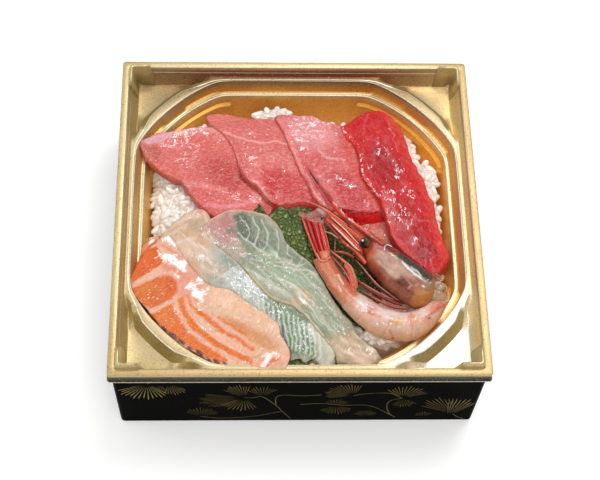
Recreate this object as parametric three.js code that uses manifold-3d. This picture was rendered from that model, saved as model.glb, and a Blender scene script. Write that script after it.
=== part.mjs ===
// Seafood rice bowl: a square takeaway box with a gold tray that holds rice,
// tuna, white fish, salmon, perilla leaves and one shrimp.
// Millimetres, +Z up, +Y away from the diner. The origin is the middle of the
// box's base.

import * as THREE from "three";
import Module from "manifold-3d";

const wasm = await Module();
wasm.setup();

// Driving dimensions.
const gap = 0.3;

const box = {
  topHalf: 81.3,
  baseHalf: 80.5,
  top: 53.9,
  wall: 1.0,
  floor: 1.2,
  corner: 2.0,
  foot: 0.8,
};

const tray = {
  rimHalf: 82.5,
  rimTop: 55.0,
  rimEdge: 0.5,
  rimInner: 79.3,
  rimCorner: 1.5,
  lipFoot: 48.8,
  lipFlare: 0.4,
  sheet: 0.8,
  wallFoot: 77.3,
  wallCorner: 3.0,
  ridge: 50.0,
  padDepth: 4.5,
  padShift: 2.1,
  padCircle: 91.0,
  ridgeCircle: 87.5,
  wellCircle: 83.5,
  wellHalf: 75.2,
  wellBlend: 1.5,
  slopeShares: [0.33, 0.67],
  mitreLimit: 1.6,
  floor: 16.0,
  roomClear: 0.4,
};

// Steps of the well below the ridge: how far each lies inside the well's mouth,
// and its height.
const wellSteps = [
  { inset: 0.0, z: 50.0 },
  { inset: 0.5, z: 49.6 },
  { inset: 2.1, z: 44.2 },
  { inset: 4.2, z: 43.8 },
  { inset: 6.2, z: 35.5 },
  { inset: 7.4, z: 35.0 },
  { inset: 11.0, z: 17.5 },
  { inset: 13.0, z: 16.0 },
];

// A lid lug's section: how far each point lies from the middle, and its height.
const lug = {
  section: [[75.1, 46.0], [76.0, 46.0], [79.4, 54.5], [78.6, 58.0], [77.6, 58.0]],
  armEnd: 68.0,
};

const rice = {
  level: 38.4,
  // The heap's edge: how far inside the well's mouth, and how high.
  edgeInset: 8.4,
  edgeLevel: 33.0,
  edgeFall: 14,
  // On the right it stays high out to the wall.
  shoulder: { x: 62, y: 24, reach: 24 },
  lump: 0.9,
  lumpFrom: [0.72, 0.84],
  ringCount: 7,
  ringEase: 0.6,
  pointCount: 32,
  sideInset: 11.0,
  sideRise: 4.0,
  footInset: 13.6,
  grainLength: 7.2,
  grainWidth: 2.8,
  grainFlat: 0.85,
  grainSides: 5,
  grainSections: [[-1, 0.35], [0, 1], [1, 0.35]],
  grainRise: 0.9,
  grainTilt: 0.4,
  grainSpacing: 4.0,
  grainZone: [0.45, 1.02],
  grainCount: 64,
  grainTries: 6000,
  seed: 11,
};

// Slices, from the lowest to the topmost. left and right are the two long edges
// of the upper face, from one end to the other, with as many points each.
const slices = [
  {
    name: "tuna_pale",
    left: [[24, -0.5, 42.8], [33, -9, 42.8], [43, -18, 42.8], [52, -25, 42.8]],
    right: [[46, 3, 43], [51, -6, 43], [57, -15, 43], [61, -22, 43]],
    thick: 3.0, crown: 0.4, endRound: 2, colour: 0xe08a72,
  },
  {
    name: "tuna_1",
    left: [[-72, 39.5, 48.6], [-63, 26, 46], [-49.5, 12, 45], [-34.5, 3.5, 45], [-16, 3, 44.5]],
    right: [[-71.5, 42, 49], [-58.5, 48.5, 47.6], [-39.5, 51, 46.5], [-24, 33, 44.5], [-9, 9, 44.5]],
    thick: 5.2, crown: 0.8, endRound: 2, colour: 0xe07a78,
  },
  {
    name: "tuna_2",
    left: [[-42.5, 56.5, 48], [-35, 46, 50], [-28, 34.5, 50.5], [-19, 16, 50.5], [-8, 5.5, 49]],
    right: [[-4, 56.5, 46.5], [4, 40, 45.5], [10, 25, 45.5], [14, 13, 46], [14.5, 5, 46.5]],
    thick: 7.0, crown: 1.2, endRound: 1.5, colour: 0xdd6a68,
  },
  {
    name: "tuna_3",
    left: [[-9.5, 56, 49], [-5, 46, 50.5], [0, 29, 51], [6.5, 14.5, 51], [16, 4.5, 49.5]],
    right: [[24, 50, 46.5], [33, 36, 45.5], [40, 21, 45.5], [44, 10, 45.5], [44, 4, 46.5]],
    thick: 7.2, crown: 1.2, endRound: 1, colour: 0xda6462,
  },
  {
    name: "tuna_red",
    left: [[22, 52, 49], [26.5, 35, 51], [30.5, 20.5, 51.5], [37, 3.5, 51], [44, -11.5, 49],
      [57.5, -26.5, 46.5]],
    right: [[37, 60, 46.5], [51, 51, 46], [56, 33, 46], [61, 16, 46], [66, -5, 46], [69, -18.5, 45.5]],
    thick: 6.6, crown: 1.2, endRound: 4, colour: 0xc02430,
  },
  {
    name: "salmon_2",
    left: [[-71, -13, 45], [-72.5, -26, 44.5], [-70, -40, 44], [-61, -53, 44]],
    right: [[-59, -6.5, 45.5], [-56, -22, 44.5], [-50, -36, 44], [-42, -48, 44]],
    thick: 4.6, crown: 0.4, endRound: 1.5, colour: 0xe86a24,
  },
  {
    name: "white_fish_1",
    left: [[-62.5, -7.5, 46.5], [-56, -24, 45.5], [-42, -42, 45.5], [-24, -58, 46], [-5, -71.5, 47]],
    right: [[-47.5, 4, 47], [-30, -12, 46], [-10, -32, 45], [8, -50, 45], [18, -70, 46.5]],
    thick: 4.4, crown: 0.6, endRound: 1.5, colour: 0xc4cdbb,
  },
  {
    name: "white_fish_2",
    left: [[-44, -6, 49], [-37.5, -17, 50.5], [-23.5, -31, 50.5], [-4, -46, 50.5], [7.5, -57, 50],
      [16, -71, 48]],
    right: [[-34.5, 2, 48], [-18, 3, 47.5], [-5, -11, 46.5], [9.5, -29.5, 46], [23.5, -51, 46],
      [35.5, -70, 46.5]],
    thick: 4.8, crown: 1.0, endRound: 2, colour: 0xb9c3b0,
  },
  {
    name: "salmon_1",
    left: [[-66, -13, 47.5], [-73.8, -29, 49.2], [-70.8, -43, 49.5], [-59.5, -57.5, 49.5],
      [-45, -69, 49.5], [-32.5, -74, 49.5]],
    right: [[-58.5, -8.5, 48.5], [-50.5, -23.5, 50.5], [-31.5, -39, 51.5], [-15.5, -49, 51.5],
      [-8, -62.5, 51], [-5.5, -73.5, 50]],
    thick: 4.6, crown: 1.0, endRound: 1, colour: 0xea7130,
  },
];

// Perilla leaves: midrib from the tip to the stalk, half-width, and teeth.
const leaves = [
  {
    name: "shiso_1",
    rib: [[-16, 9, 45], [-21, -4, 41.5], [-27, -20, 39.3], [-33, -36, 39.3]],
    half: 19,
  },
  {
    name: "shiso_2",
    rib: [[-6, 7.8, 46.5], [-0.5, -8, 43], [6, -26, 40.2], [14, -46, 39.3]],
    half: 15,
  },
  {
    name: "shiso_3",
    rib: [[1, 3.8, 45.6], [12, -8, 42], [22, -26, 40.2], [30, -54, 39.2]],
    half: 19,
  },
  {
    name: "shiso_4",
    rib: [[6, -71.5, 42.5], [-4, -62, 40.4], [-16, -49, 39.3], [-28, -38, 39.3]],
    half: 17,
  },
];
const leafShape = {
  sheet: 0.6,
  teeth: 9,
  tooth: 1.3,
  wave: 0.6,
  cells: 2,
  start: 0.02,
  widest: 0.72,
  blunt: 0.8,
  slimmest: 0.8,
  colour: 0x3f6a2a,
};

// A slice's cross-section: how far across it, and how high in its thickness.
const sliceShape = {
  loop: [
    [-1, 0.45], [-0.93, 0.93], [-0.5, 1], [0, 1], [0.5, 1], [0.93, 0.93],
    [1, 0.45], [0.9, 0.04], [0.3, 0], [-0.3, 0], [-0.9, 0.04],
  ],
  stations: [0, 0.04, 0.2, 0.36, 0.52, 0.68, 0.84, 0.96, 1],
  endFrom: 0.72,
  endThin: 0.6,
  endDrop: 0.2,
};

const shrimp = {
  // The peeled body's middle line and its radii, from the tail to the head.
  spine: [[10.5, -22, 47.5], [15.3, -30, 47], [21.3, -37, 46.8], [27, -44, 46.8], [33.8, -49.6, 47],
    [41.4, -53, 47], [49.4, -53, 47], [56.2, -49, 47], [61, -43.4, 47]],
  radii: [3.3, 4.1, 4.9, 5.7, 6.4, 7.0, 6.9, 6.1, 4.0],
  segments: 6,
  segmentStep: 0.35,
  // The carapace's middle line, with half its height and half its width there.
  carapace: [[27.5, -10.5, 49.5], [30.5, -14, 49.5], [34.6, -18.4, 49.5], [38.4, -23.6, 49.5],
    [42.7, -28.6, 49.4], [47.5, -33.2, 49.2], [52.6, -36.8, 49], [58, -38.8, 49], [61.6, -39.6, 49]],
  halfHeight: [2.6, 6.0, 7.5, 8.8, 9.6, 9.7, 8.9, 6.4, 2.2],
  halfWidth: [2.4, 5.2, 6.8, 7.8, 8.3, 8.3, 7.6, 5.4, 2.0],
  rostrum: [[36, -14.5, 53.5], [25, -4.8, 53.8], [14, 1.4, 53.2], [3, 5.5, 52.6]],
  rostrumRadii: [2.4, 1.9, 1.3, 0.4],
  scales: [[31, -17, 50.5], [24, -10.5, 51], [17, -3.6, 51], [10, 0.8, 50.5]],
  scalesRadii: [4.6, 4.3, 3.4, 1.8],
  eye: [30.2, -17.6, 55.2],
  eyeRadius: 2.7,
  tailRoot: [9.6, -20.4, 47.6],
  tailBlades: [
    { tip: [2.6, 0.2, 48.2], half: 2.5 },
    { tip: [6.6, 1.2, 49.2], half: 2.2 },
    { tip: [10.8, -1.2, 48.2], half: 2.5 },
  ],
  tailThick: 1.5,
  tailSections: [[0, 0.75, 1.5], [0.35, 0.85, 1.2], [0.75, 1, 0.8], [1, 0.7, 0.6]],
  tailLoop: [[-1, 0], [-0.6, 1], [0.6, 1], [1, 0], [0.6, -1], [-0.6, -1]],
  legs: [
    [[50.5, -43.5, 43.5], [43, -42.2, 42.3], [36, -37, 42], [29.5, -28, 42], [23, -19.5, 42.8],
      [17.5, -12, 44]],
    [[50.5, -43.9, 43.5], [43.5, -44.6, 42.3], [36.6, -41.3, 42], [30, -34.5, 42],
      [25.5, -28.4, 42.6]],
  ],
  legRadii: [0.8, 0.8, 0.56],
  colours: { body: 0xf0b9a0, tail: 0xc23a2c, head: 0xc98a70, eye: 0x120c0a, legs: 0xa8452f },
};

// Small helpers.
const mix = (a, b, t) => a + (b - a) * t;
const vector = ([x, y, z]) => new THREE.Vector3(x, y, z);
const smooth = (from, to, value) => THREE.MathUtils.smoothstep(value, from, to);

function seededRandom(seed) {
  let state = seed >>> 0;
  return () => {
    state = (state + 0x6d2b79f5) >>> 0;
    let t = Math.imul(state ^ (state >>> 15), state | 1);
    t ^= t + Math.imul(t ^ (t >>> 7), t | 61);
    return ((t ^ (t >>> 14)) >>> 0) / 4294967296;
  };
}

// A curve through the points, and a value that runs along with it.
const curveOf = (points) => new THREE.CatmullRomCurve3(points.map(vector), false, "centripetal");

function valueAlong(values, t) {
  const place = t * (values.length - 1);
  const index = Math.min(Math.floor(place), values.length - 2);
  return mix(values[index], values[index + 1], place - index);
}

// A solid from points and triangles, turned so that its faces point out.
function solidOf(points, triangles) {
  let volume = 0;
  for (let i = 0; i < triangles.length; i += 3) {
    const [a, b, c] = triangles.slice(i, i + 3).map((index) => points[index]);
    volume += a.dot(new THREE.Vector3().crossVectors(b, c));
  }
  if (volume < 0) {
    triangles.reverse();
  }
  const vertProperties = new Float32Array(points.flatMap((p) => [p.x, p.y, p.z]));
  const triVerts = new Uint32Array(triangles);
  return new wasm.Manifold(new wasm.Mesh({ numProp: 3, vertProperties, triVerts }));
}

// A solid through rings of equally many points, its two ends closed by fans.
function loft(rings) {
  const count = rings[0].length;
  const points = rings.flat();
  const triangles = [];
  for (let ring = 0; ring + 1 < rings.length; ring++) {
    for (let i = 0; i < count; i++) {
      const a = ring * count + i;
      const b = ring * count + (i + 1) % count;
      triangles.push(a, b, b + count, a, b + count, a + count);
    }
  }
  const closeEnd = (first, turn) => {
    const middle = points.length;
    const sum = new THREE.Vector3();
    for (let i = 0; i < count; i++) {
      sum.add(points[first + i]);
      const pair = [first + i, first + (i + 1) % count];
      triangles.push(...(turn ? pair.reverse() : pair), middle);
    }
    points.push(sum.divideScalar(count));
  };
  closeEnd(0, true);
  closeEnd((rings.length - 1) * count, false);
  return solidOf(points, triangles);
}

// A round bar along a curve, with its radius given at even steps.
function bar(points, radii, { sides = 8, steps = 12, grow = 0, squash = 1, bulge = () => 0 } = {}) {
  const curve = curveOf(points);
  const up = new THREE.Vector3(0, 0, 1);
  const rings = [];
  for (let s = 0; s <= steps; s++) {
    const t = s / steps;
    const along = curve.getTangentAt(t);
    const centre = curve.getPointAt(t);
    if (s === 0) {
      centre.addScaledVector(along, -grow);
    }
    if (s === steps) {
      centre.addScaledVector(along, grow);
    }
    const side = new THREE.Vector3().crossVectors(along, up).normalize();
    const top = new THREE.Vector3().crossVectors(side, along);
    const radius = valueAlong(radii, t) + bulge(t) + grow;
    const ring = [];
    for (let i = 0; i < sides; i++) {
      const angle = (i / sides) * 2 * Math.PI;
      ring.push(centre.clone()
        .addScaledVector(side, radius * Math.cos(angle))
        .addScaledVector(top, radius * squash * Math.sin(angle)));
    }
    rings.push(ring);
  }
  return loft(rings);
}

// Box: thin walls that lean out a little, open at the top.
function roundedSquare(half, corner, z) {
  const arcSteps = 4;
  const ring = [];
  for (let quarter = 0; quarter < 4; quarter++) {
    for (let s = 0; s <= arcSteps; s++) {
      const angle = (quarter + s / arcSteps) * Math.PI / 2;
      const turn = (quarter + 0.5) * Math.PI / 2;
      const reach = (half - corner) * Math.SQRT2;
      ring.push(new THREE.Vector3(
        reach * Math.cos(turn) + corner * Math.cos(angle),
        reach * Math.sin(turn) + corner * Math.sin(angle),
        z,
      ));
    }
  }
  return ring;
}

function makeBox() {
  const { topHalf, baseHalf, top, wall, floor, corner, foot } = box;
  return loft([
    roundedSquare(baseHalf - foot, corner, 0),
    roundedSquare(baseHalf, corner, foot),
    roundedSquare(topHalf, corner, top),
    roundedSquare(topHalf - wall, corner - wall / 2, top),
    roundedSquare(baseHalf - wall, corner - wall / 2, floor),
  ]);
}

// Tray: every ring is worked out as a distance from the middle at an angle.
function squareRadius(angle, half, corner) {
  const eighth = Math.PI / 4;
  const fold = Math.abs(((angle % (2 * eighth)) + 2 * eighth) % (2 * eighth) - eighth);
  const a = eighth - fold;
  const flat = half / Math.cos(a);
  const inner = half - corner;
  if (Math.tan(a) * half <= inner) {
    return flat;
  }
  const along = inner * (Math.cos(a) + Math.sin(a));
  return along + Math.sqrt(along * along - 2 * inner * inner + corner * corner);
}

// The well's mouth: a circle with four straight cuts, eased where they meet.
function wellRadius(angle, inset) {
  const reach = Math.max(Math.abs(Math.cos(angle)), Math.abs(Math.sin(angle)));
  const cut = (tray.wellHalf - inset) / reach;
  const circle = tray.wellCircle - inset;
  return (cut + circle - Math.hypot(cut - circle, tray.wellBlend)) / 2;
}

const padSink = (radius) => tray.padDepth * smooth(tray.ridgeCircle, tray.padCircle, radius);

function trayProfile(angle) {
  const t = tray;
  const square = (half, corner) => squareRadius(angle, half, corner);
  const sink = padSink(square(t.wallFoot, t.wallCorner));
  const foot = square(t.wallFoot - t.padShift * sink / t.padDepth, t.wallCorner);
  const mouth = wellRadius(angle, 0);
  const slopeTop = Math.min(t.ridgeCircle, mix(mouth, foot, t.slopeShares[0]));
  const slopeFoot = Math.min(t.padCircle, mix(mouth, foot, t.slopeShares[1]));
  return [
    [square(t.rimHalf + t.lipFlare, t.rimCorner), t.lipFoot],
    [square(t.rimHalf, t.rimCorner), t.rimTop - t.rimEdge],
    [square(t.rimHalf - t.rimEdge, t.rimCorner), t.rimTop],
    [square(t.rimInner, t.wallCorner), t.rimTop],
    [foot, t.ridge - sink],
    [slopeFoot, t.ridge - padSink(slopeFoot)],
    [slopeTop, t.ridge - padSink(slopeTop)],
    ...wellSteps.map(({ inset, z }) => [wellRadius(angle, inset), z]),
  ];
}

// The same profile, moved by the sheet's thickness to its hidden side.
function offsetProfile(profile, distance) {
  const normals = profile.map(([r, z], i) => {
    const [nextR, nextZ] = profile[i + 1] ?? [r - 1, z];
    const length = Math.hypot(nextR - r, nextZ - z);
    return [(nextZ - z) / length, (r - nextR) / length];
  });
  return profile.map(([r, z], i) => {
    const [aR, aZ] = normals[Math.max(i - 1, 0)];
    const [bR, bZ] = normals[i];
    const length = Math.hypot(aR + bR, aZ + bZ);
    const reach = distance * Math.min(2 / length, tray.mitreLimit);
    return [r - reach * (aR + bR) / length, z - reach * (aZ + bZ) / length];
  });
}

const octant = [0, 12, 20, 25.8, 31.8, 38, 44];
const trayAngles = [0, 1, 2, 3].flatMap((quarter) => [
  ...octant,
  45,
  ...octant.slice(1).reverse().map((degrees) => 90 - degrees),
].map((degrees) => (degrees + 90 * quarter) * Math.PI / 180));

const placed = (angle, [r, z]) => new THREE.Vector3(r * Math.cos(angle), r * Math.sin(angle), z);

function ringsOf(profiles) {
  return profiles[0].map((_, k) => trayAngles.map((angle, i) => placed(angle, profiles[i][k])));
}

function makeLug() {
  const { section, armEnd } = lug;
  const outer = Math.max(...section.map(([d]) => d));
  const arm = section.map(([d, z]) => new THREE.Vector3(armEnd + outer - d, d, z));
  const bend = section.map(([d, z]) => new THREE.Vector3(d, d, z));
  const otherArm = section.map(([d, z]) => new THREE.Vector3(d, armEnd + outer - d, z));
  return loft([arm, bend, otherArm]);
}

function makeTray() {
  const profiles = trayAngles.map(trayProfile);
  const top = ringsOf(profiles);
  const under = ringsOf(profiles.map((profile) => offsetProfile(profile, tray.sheet)));
  let solid = loft([...top.reverse(), ...under]);
  for (let quarter = 0; quarter < 4; quarter++) {
    solid = solid.add(makeLug().rotate([0, 0, 90 * quarter]));
  }
  return solid;
}

// The room inside the tray, a little clear of it, which all the food keeps to.
function makeRoom() {
  const roof = 90;
  const profiles = trayAngles.map((angle) => [
    [wellRadius(angle, tray.roomClear), roof],
    ...wellSteps.slice(1).map(({ inset, z }) => [wellRadius(angle, inset + tray.roomClear), z + gap]),
  ]);
  return loft(ringsOf(profiles));
}

// Rice: a lumpy heap that falls away to the well's wall.
function riceHeight(x, y) {
  const { level, edgeLevel, edgeInset, edgeFall, shoulder, lump, lumpFrom } = rice;
  const reach = Math.hypot(x, y) / wellRadius(Math.atan2(y, x), edgeInset);
  const away = Math.hypot(x - shoulder.x, y - shoulder.y) / shoulder.reach;
  const fall = (level - edgeLevel) * Math.pow(reach, edgeFall) * (1 - Math.exp(-away * away));
  const lumps = Math.sin(x * 0.31 + 1.7 * Math.sin(y * 0.23)) * Math.sin(y * 0.37 + x * 0.11);
  return level - fall + lump * lumps * smooth(...lumpFrom, reach);
}

function makeRiceCore() {
  const { edgeInset, ringCount, ringEase, pointCount, sideInset, sideRise, footInset } = rice;
  const angles = Array.from({ length: pointCount }, (_, i) => (i / pointCount) * 2 * Math.PI);
  const ringAt = (inset, z) => angles.map((angle) => placed(angle, [wellRadius(angle, inset), z]));
  const rings = [];
  for (let k = 1; k <= ringCount; k++) {
    const share = Math.pow(k / ringCount, ringEase);
    rings.push(ringAt(edgeInset, 0).map(({ x, y }) => (
      new THREE.Vector3(x * share, y * share, riceHeight(x * share, y * share))
    )));
  }
  const foot = tray.floor + gap;
  return loft([...rings, ringAt(sideInset, foot + sideRise), ringAt(footInset, foot)]);
}

// One grain: five sides, blunt ends.
function makeGrain(x, y, z, turn, tilt) {
  const { grainLength, grainWidth, grainFlat, grainSides, grainSections } = rice;
  const place = new THREE.Matrix4().makeRotationFromEuler(new THREE.Euler(0, tilt, turn, "ZYX"));
  place.setPosition(x, y, z);
  return loft(grainSections.map(([along, share]) => (
    Array.from({ length: grainSides }, (_, i) => {
      const angle = (i / grainSides) * 2 * Math.PI;
      const radius = share * grainWidth / 2;
      const [side, top] = [radius * Math.cos(angle), radius * Math.sin(angle) * grainFlat];
      return new THREE.Vector3(along * grainLength / 2, side, top).applyMatrix4(place);
    })
  )));
}

// Grains are fused on where the rice is in sight, spread evenly by a seeded draw.
function addGrains(core, toppings, room) {
  const random = seededRandom(rice.seed);
  const chosen = [];
  let solid = core;
  for (let tries = 0; tries < rice.grainTries && chosen.length < rice.grainCount; tries++) {
    const angle = random() * 2 * Math.PI;
    const radius = wellRadius(angle, rice.sideInset) * Math.sqrt(mix(...rice.grainZone, random()));
    const [x, y] = [radius * Math.cos(angle), radius * Math.sin(angle)];
    const near = chosen.some((other) => Math.hypot(other[0] - x, other[1] - y) < rice.grainSpacing);
    const tilt = mix(-rice.grainTilt, rice.grainTilt, random());
    const grain = makeGrain(x, y, riceHeight(x, y) + rice.grainRise, random() * Math.PI, tilt);
    if (!near && grain.intersect(toppings).isEmpty() && grain.subtract(room).isEmpty()) {
      chosen.push([x, y]);
      solid = solid.add(grain);
    }
  }
  return solid;
}

// A slice: a thin slab between its two long edges, a little domed, edges eased.
function makeSlice({ left, right, thick, crown, endRound }, grow = 0) {
  const { loop, stations, endFrom, endThin, endDrop } = sliceShape;
  const [leftCurve, rightCurve] = [curveOf(left), curveOf(right)];
  const middle = (t) => leftCurve.getPoint(t).add(rightCurve.getPoint(t)).multiplyScalar(0.5);
  const rings = stations.map((t) => {
    const [a, b] = [leftCurve.getPoint(t), rightCurve.getPoint(t)];
    const along = middle(Math.min(t + 0.02, 1)).sub(middle(Math.max(t - 0.02, 0))).setZ(0).normalize();
    const across = b.clone().sub(a).setZ(0).normalize();
    const towardsEnd = smooth(endFrom, 1, Math.abs(2 * t - 1));
    const atEnd = t === 0 || t === 1;
    const slab = thick * (atEnd ? endThin : 1);
    const drop = thick * (atEnd ? endDrop : 0);
    return loop.map(([v, w]) => {
      const point = a.clone().lerp(b, (v + 1) / 2);
      const dome = crown * (1 - v * v) * (1 - towardsEnd / 2);
      const reach = endRound * (1 - v * v) * towardsEnd + (atEnd ? grow : 0);
      point.z += dome - (1 - w) * slab - drop + grow * (2 * w - 1);
      point.addScaledVector(across, grow * Math.sign(v));
      return point.addScaledVector(along, t < 0.5 ? -reach : reach);
    });
  });
  return loft(rings);
}

// A leaf: both faces share one wavy grid, with teeth along the edge.
function makeLeaf({ rib, half }, grow = 0) {
  const { sheet, teeth, tooth, wave, cells, start, widest, blunt, slimmest } = leafShape;
  const curve = curveOf(rib);
  const steps = teeth * 2 + 1;
  const columns = cells + 1;
  const points = [];
  for (const face of [1, -1]) {
    for (let s = 0; s <= steps; s++) {
      const t = mix(start, 1, s / steps);
      const centre = curve.getPointAt(t);
      const along = curve.getTangentAt(t).setZ(0).normalize();
      const side = new THREE.Vector3(-along.y, along.x, 0);
      const ovate = Math.pow(Math.sin(Math.PI * Math.pow(t, widest)), blunt);
      const toothed = s % 2 ? tooth * Math.min(ovate * 2, 1) : 0;
      const spread = Math.max(half * ovate, slimmest) + toothed + grow;
      for (let c = 0; c < columns; c++) {
        const v = 2 * c / cells - 1;
        const point = centre.clone().addScaledVector(side, v * spread);
        point.z += wave * Math.sin(6 * t + 3 * v) * Math.abs(v) * ovate + face * (sheet / 2 + grow);
        point.addScaledVector(along, grow * (s === 0 ? -1 : s === steps ? 1 : 0));
        points.push(point);
      }
    }
  }
  const layer = (steps + 1) * columns;
  const triangles = [];
  const quad = (a, b, c, d) => triangles.push(a, b, c, a, c, d);
  for (let s = 0; s < steps; s++) {
    for (let c = 0; c < cells; c++) {
      const at = s * columns + c;
      quad(at, at + 1, at + columns + 1, at + columns);
      triangles.push(layer + at, layer + at + columns + 1, layer + at + 1);
      triangles.push(layer + at, layer + at + columns, layer + at + columns + 1);
    }
    const [first, last] = [s * columns, s * columns + cells];
    quad(first, first + columns, layer + first + columns, layer + first);
    quad(last, layer + last, layer + last + columns, last + columns);
  }
  for (let c = 0; c < cells; c++) {
    const far = steps * columns + c;
    quad(c, layer + c, layer + c + 1, c + 1);
    quad(far, far + 1, layer + far + 1, layer + far);
  }
  return solidOf(points, triangles);
}

// Shrimp parts.
function makeShrimpBody(grow = 0) {
  const step = (t) => {
    const place = t * shrimp.segments;
    return shrimp.segmentStep * (0.5 - (place - Math.floor(place)));
  };
  return bar(shrimp.spine, shrimp.radii, { sides: 10, steps: 18, grow, bulge: step });
}

function makeShrimpTail(grow = 0) {
  const root = vector(shrimp.tailRoot);
  const blades = shrimp.tailBlades.map(({ tip, half }) => {
    const end = vector(tip);
    const along = end.clone().sub(root).normalize();
    const side = new THREE.Vector3(-along.y, along.x, 0).normalize();
    const rings = shrimp.tailSections.map(([t, wideShare, thickShare]) => {
      const centre = root.clone().lerp(end, t);
      const wide = wideShare * half + grow;
      const thick = thickShare * shrimp.tailThick / 2 + grow;
      return shrimp.tailLoop.map(([v, w]) => (
        centre.clone().addScaledVector(side, v * wide).add(new THREE.Vector3(0, 0, w * thick))
      ));
    });
    return loft(rings);
  });
  return blades.reduce((sum, blade) => sum.add(blade));
}

function makeShrimpHead(grow = 0) {
  const curve = curveOf(shrimp.carapace);
  const up = new THREE.Vector3(0, 0, 1);
  const sides = 12;
  const steps = 12;
  const rings = Array.from({ length: steps + 1 }, (_, s) => {
    const t = s / steps;
    const centre = curve.getPoint(t);
    const back = new THREE.Vector3().crossVectors(up, curve.getTangent(t)).normalize();
    const height = valueAlong(shrimp.halfHeight, t) + grow;
    const width = valueAlong(shrimp.halfWidth, t) + grow;
    return Array.from({ length: sides }, (_, i) => {
      const angle = (i / sides) * 2 * Math.PI;
      return centre.clone()
        .addScaledVector(back, height * Math.cos(angle))
        .addScaledVector(up, width * Math.sin(angle));
    });
  });
  const rostrum = bar(shrimp.rostrum, shrimp.rostrumRadii, { sides: 6, steps: 6, grow });
  const scales = bar(shrimp.scales, shrimp.scalesRadii, { sides: 6, steps: 5, grow, squash: 0.5 });
  return loft(rings).add(rostrum).add(scales);
}

function makeShrimpEye(grow = 0) {
  const geometry = new THREE.IcosahedronGeometry(shrimp.eyeRadius + grow, 1);
  const position = geometry.getAttribute("position");
  const points = [];
  const places = new Map();
  const triangles = [];
  for (let i = 0; i < position.count; i++) {
    const point = new THREE.Vector3().fromBufferAttribute(position, i);
    const key = point.toArray().map((value) => value.toFixed(4)).join(" ");
    if (!places.has(key)) {
      places.set(key, points.length);
      points.push(point.add(vector(shrimp.eye)));
    }
    triangles.push(places.get(key));
  }
  return solidOf(points, triangles);
}

function makeShrimpLegs(grow = 0) {
  const leg = (points) => bar(points, shrimp.legRadii, { sides: 6, steps: 9, grow });
  const [first, second] = shrimp.legs.map(leg);
  return first.add(second);
}

// The largest body of a solid, without the scraps that a cut leaves.
function largest(solid) {
  const bodies = solid.decompose();
  return bodies.reduce((best, body) => (body.volume() > best.volume() ? body : best));
}

function meshOf(name, solid, color, { roughness = 0.35, metalness = 0 } = {}) {
  const { vertProperties, triVerts, numProp } = solid.getMesh();
  const geometry = new THREE.BufferGeometry();
  geometry.setAttribute("position", new THREE.Float32BufferAttribute(vertProperties, numProp));
  geometry.setIndex(Array.from(triVerts));
  geometry.computeVertexNormals();
  const material = new THREE.MeshStandardMaterial({ color, roughness, metalness });
  const mesh = new THREE.Mesh(geometry, material);
  mesh.name = name;
  return mesh;
}

// Food from the lowest to the topmost. Each piece gives way to those above it.
const food = [
  ...slices.map((slice) => ({ ...slice, make: (grow) => makeSlice(slice, grow) })),
  ...leaves.map((leaf) => ({ ...leaf, colour: leafShape.colour, make: (grow) => makeLeaf(leaf, grow) })),
  { name: "shrimp_body", colour: shrimp.colours.body, make: makeShrimpBody },
  { name: "shrimp_tail", colour: shrimp.colours.tail, make: makeShrimpTail },
  { name: "shrimp_legs", colour: shrimp.colours.legs, make: makeShrimpLegs },
  { name: "shrimp_head", colour: shrimp.colours.head, make: makeShrimpHead },
  { name: "shrimp_eye", colour: shrimp.colours.eye, make: makeShrimpEye },
];

const bowl = new THREE.Group();
bowl.add(meshOf("box", makeBox(), 0x0b0a09, { roughness: 0.3 }));
bowl.add(meshOf("tray", makeTray(), 0xd9b566, { roughness: 0.3, metalness: 0.9 }));

const room = makeRoom();
food.forEach((piece, index) => {
  let solid = piece.make(0).intersect(room);
  for (const above of food.slice(index + 1)) {
    solid = solid.subtract(above.make(gap));
  }
  bowl.add(meshOf(piece.name, largest(solid), piece.colour));
});

const grown = food.map((piece) => piece.make(gap)).reduce((sum, solid) => sum.add(solid));
const heap = addGrains(largest(makeRiceCore().subtract(grown)), grown, room);
bowl.add(meshOf("rice", largest(heap), 0xeee6da, { roughness: 0.5 }));

export default bowl;
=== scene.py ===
# %% [markdown]
# # A seafood rice bowl in its takeaway box
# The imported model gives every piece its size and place. This lesson keeps that frame and
# dresses it: a gold film tray, a black box with a pine print, loose grains of rice, slices of
# raw fish with their own marbling, green leaves and one shrimp. All lengths are in
# millimetres until a mesh is made, because that is how a cook and a tray maker think.

# %% Load the frame
import math
import random
import bpy
import numpy as np
from mathutils import Matrix, Vector
from mathutils.bvhtree import BVHTree


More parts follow.
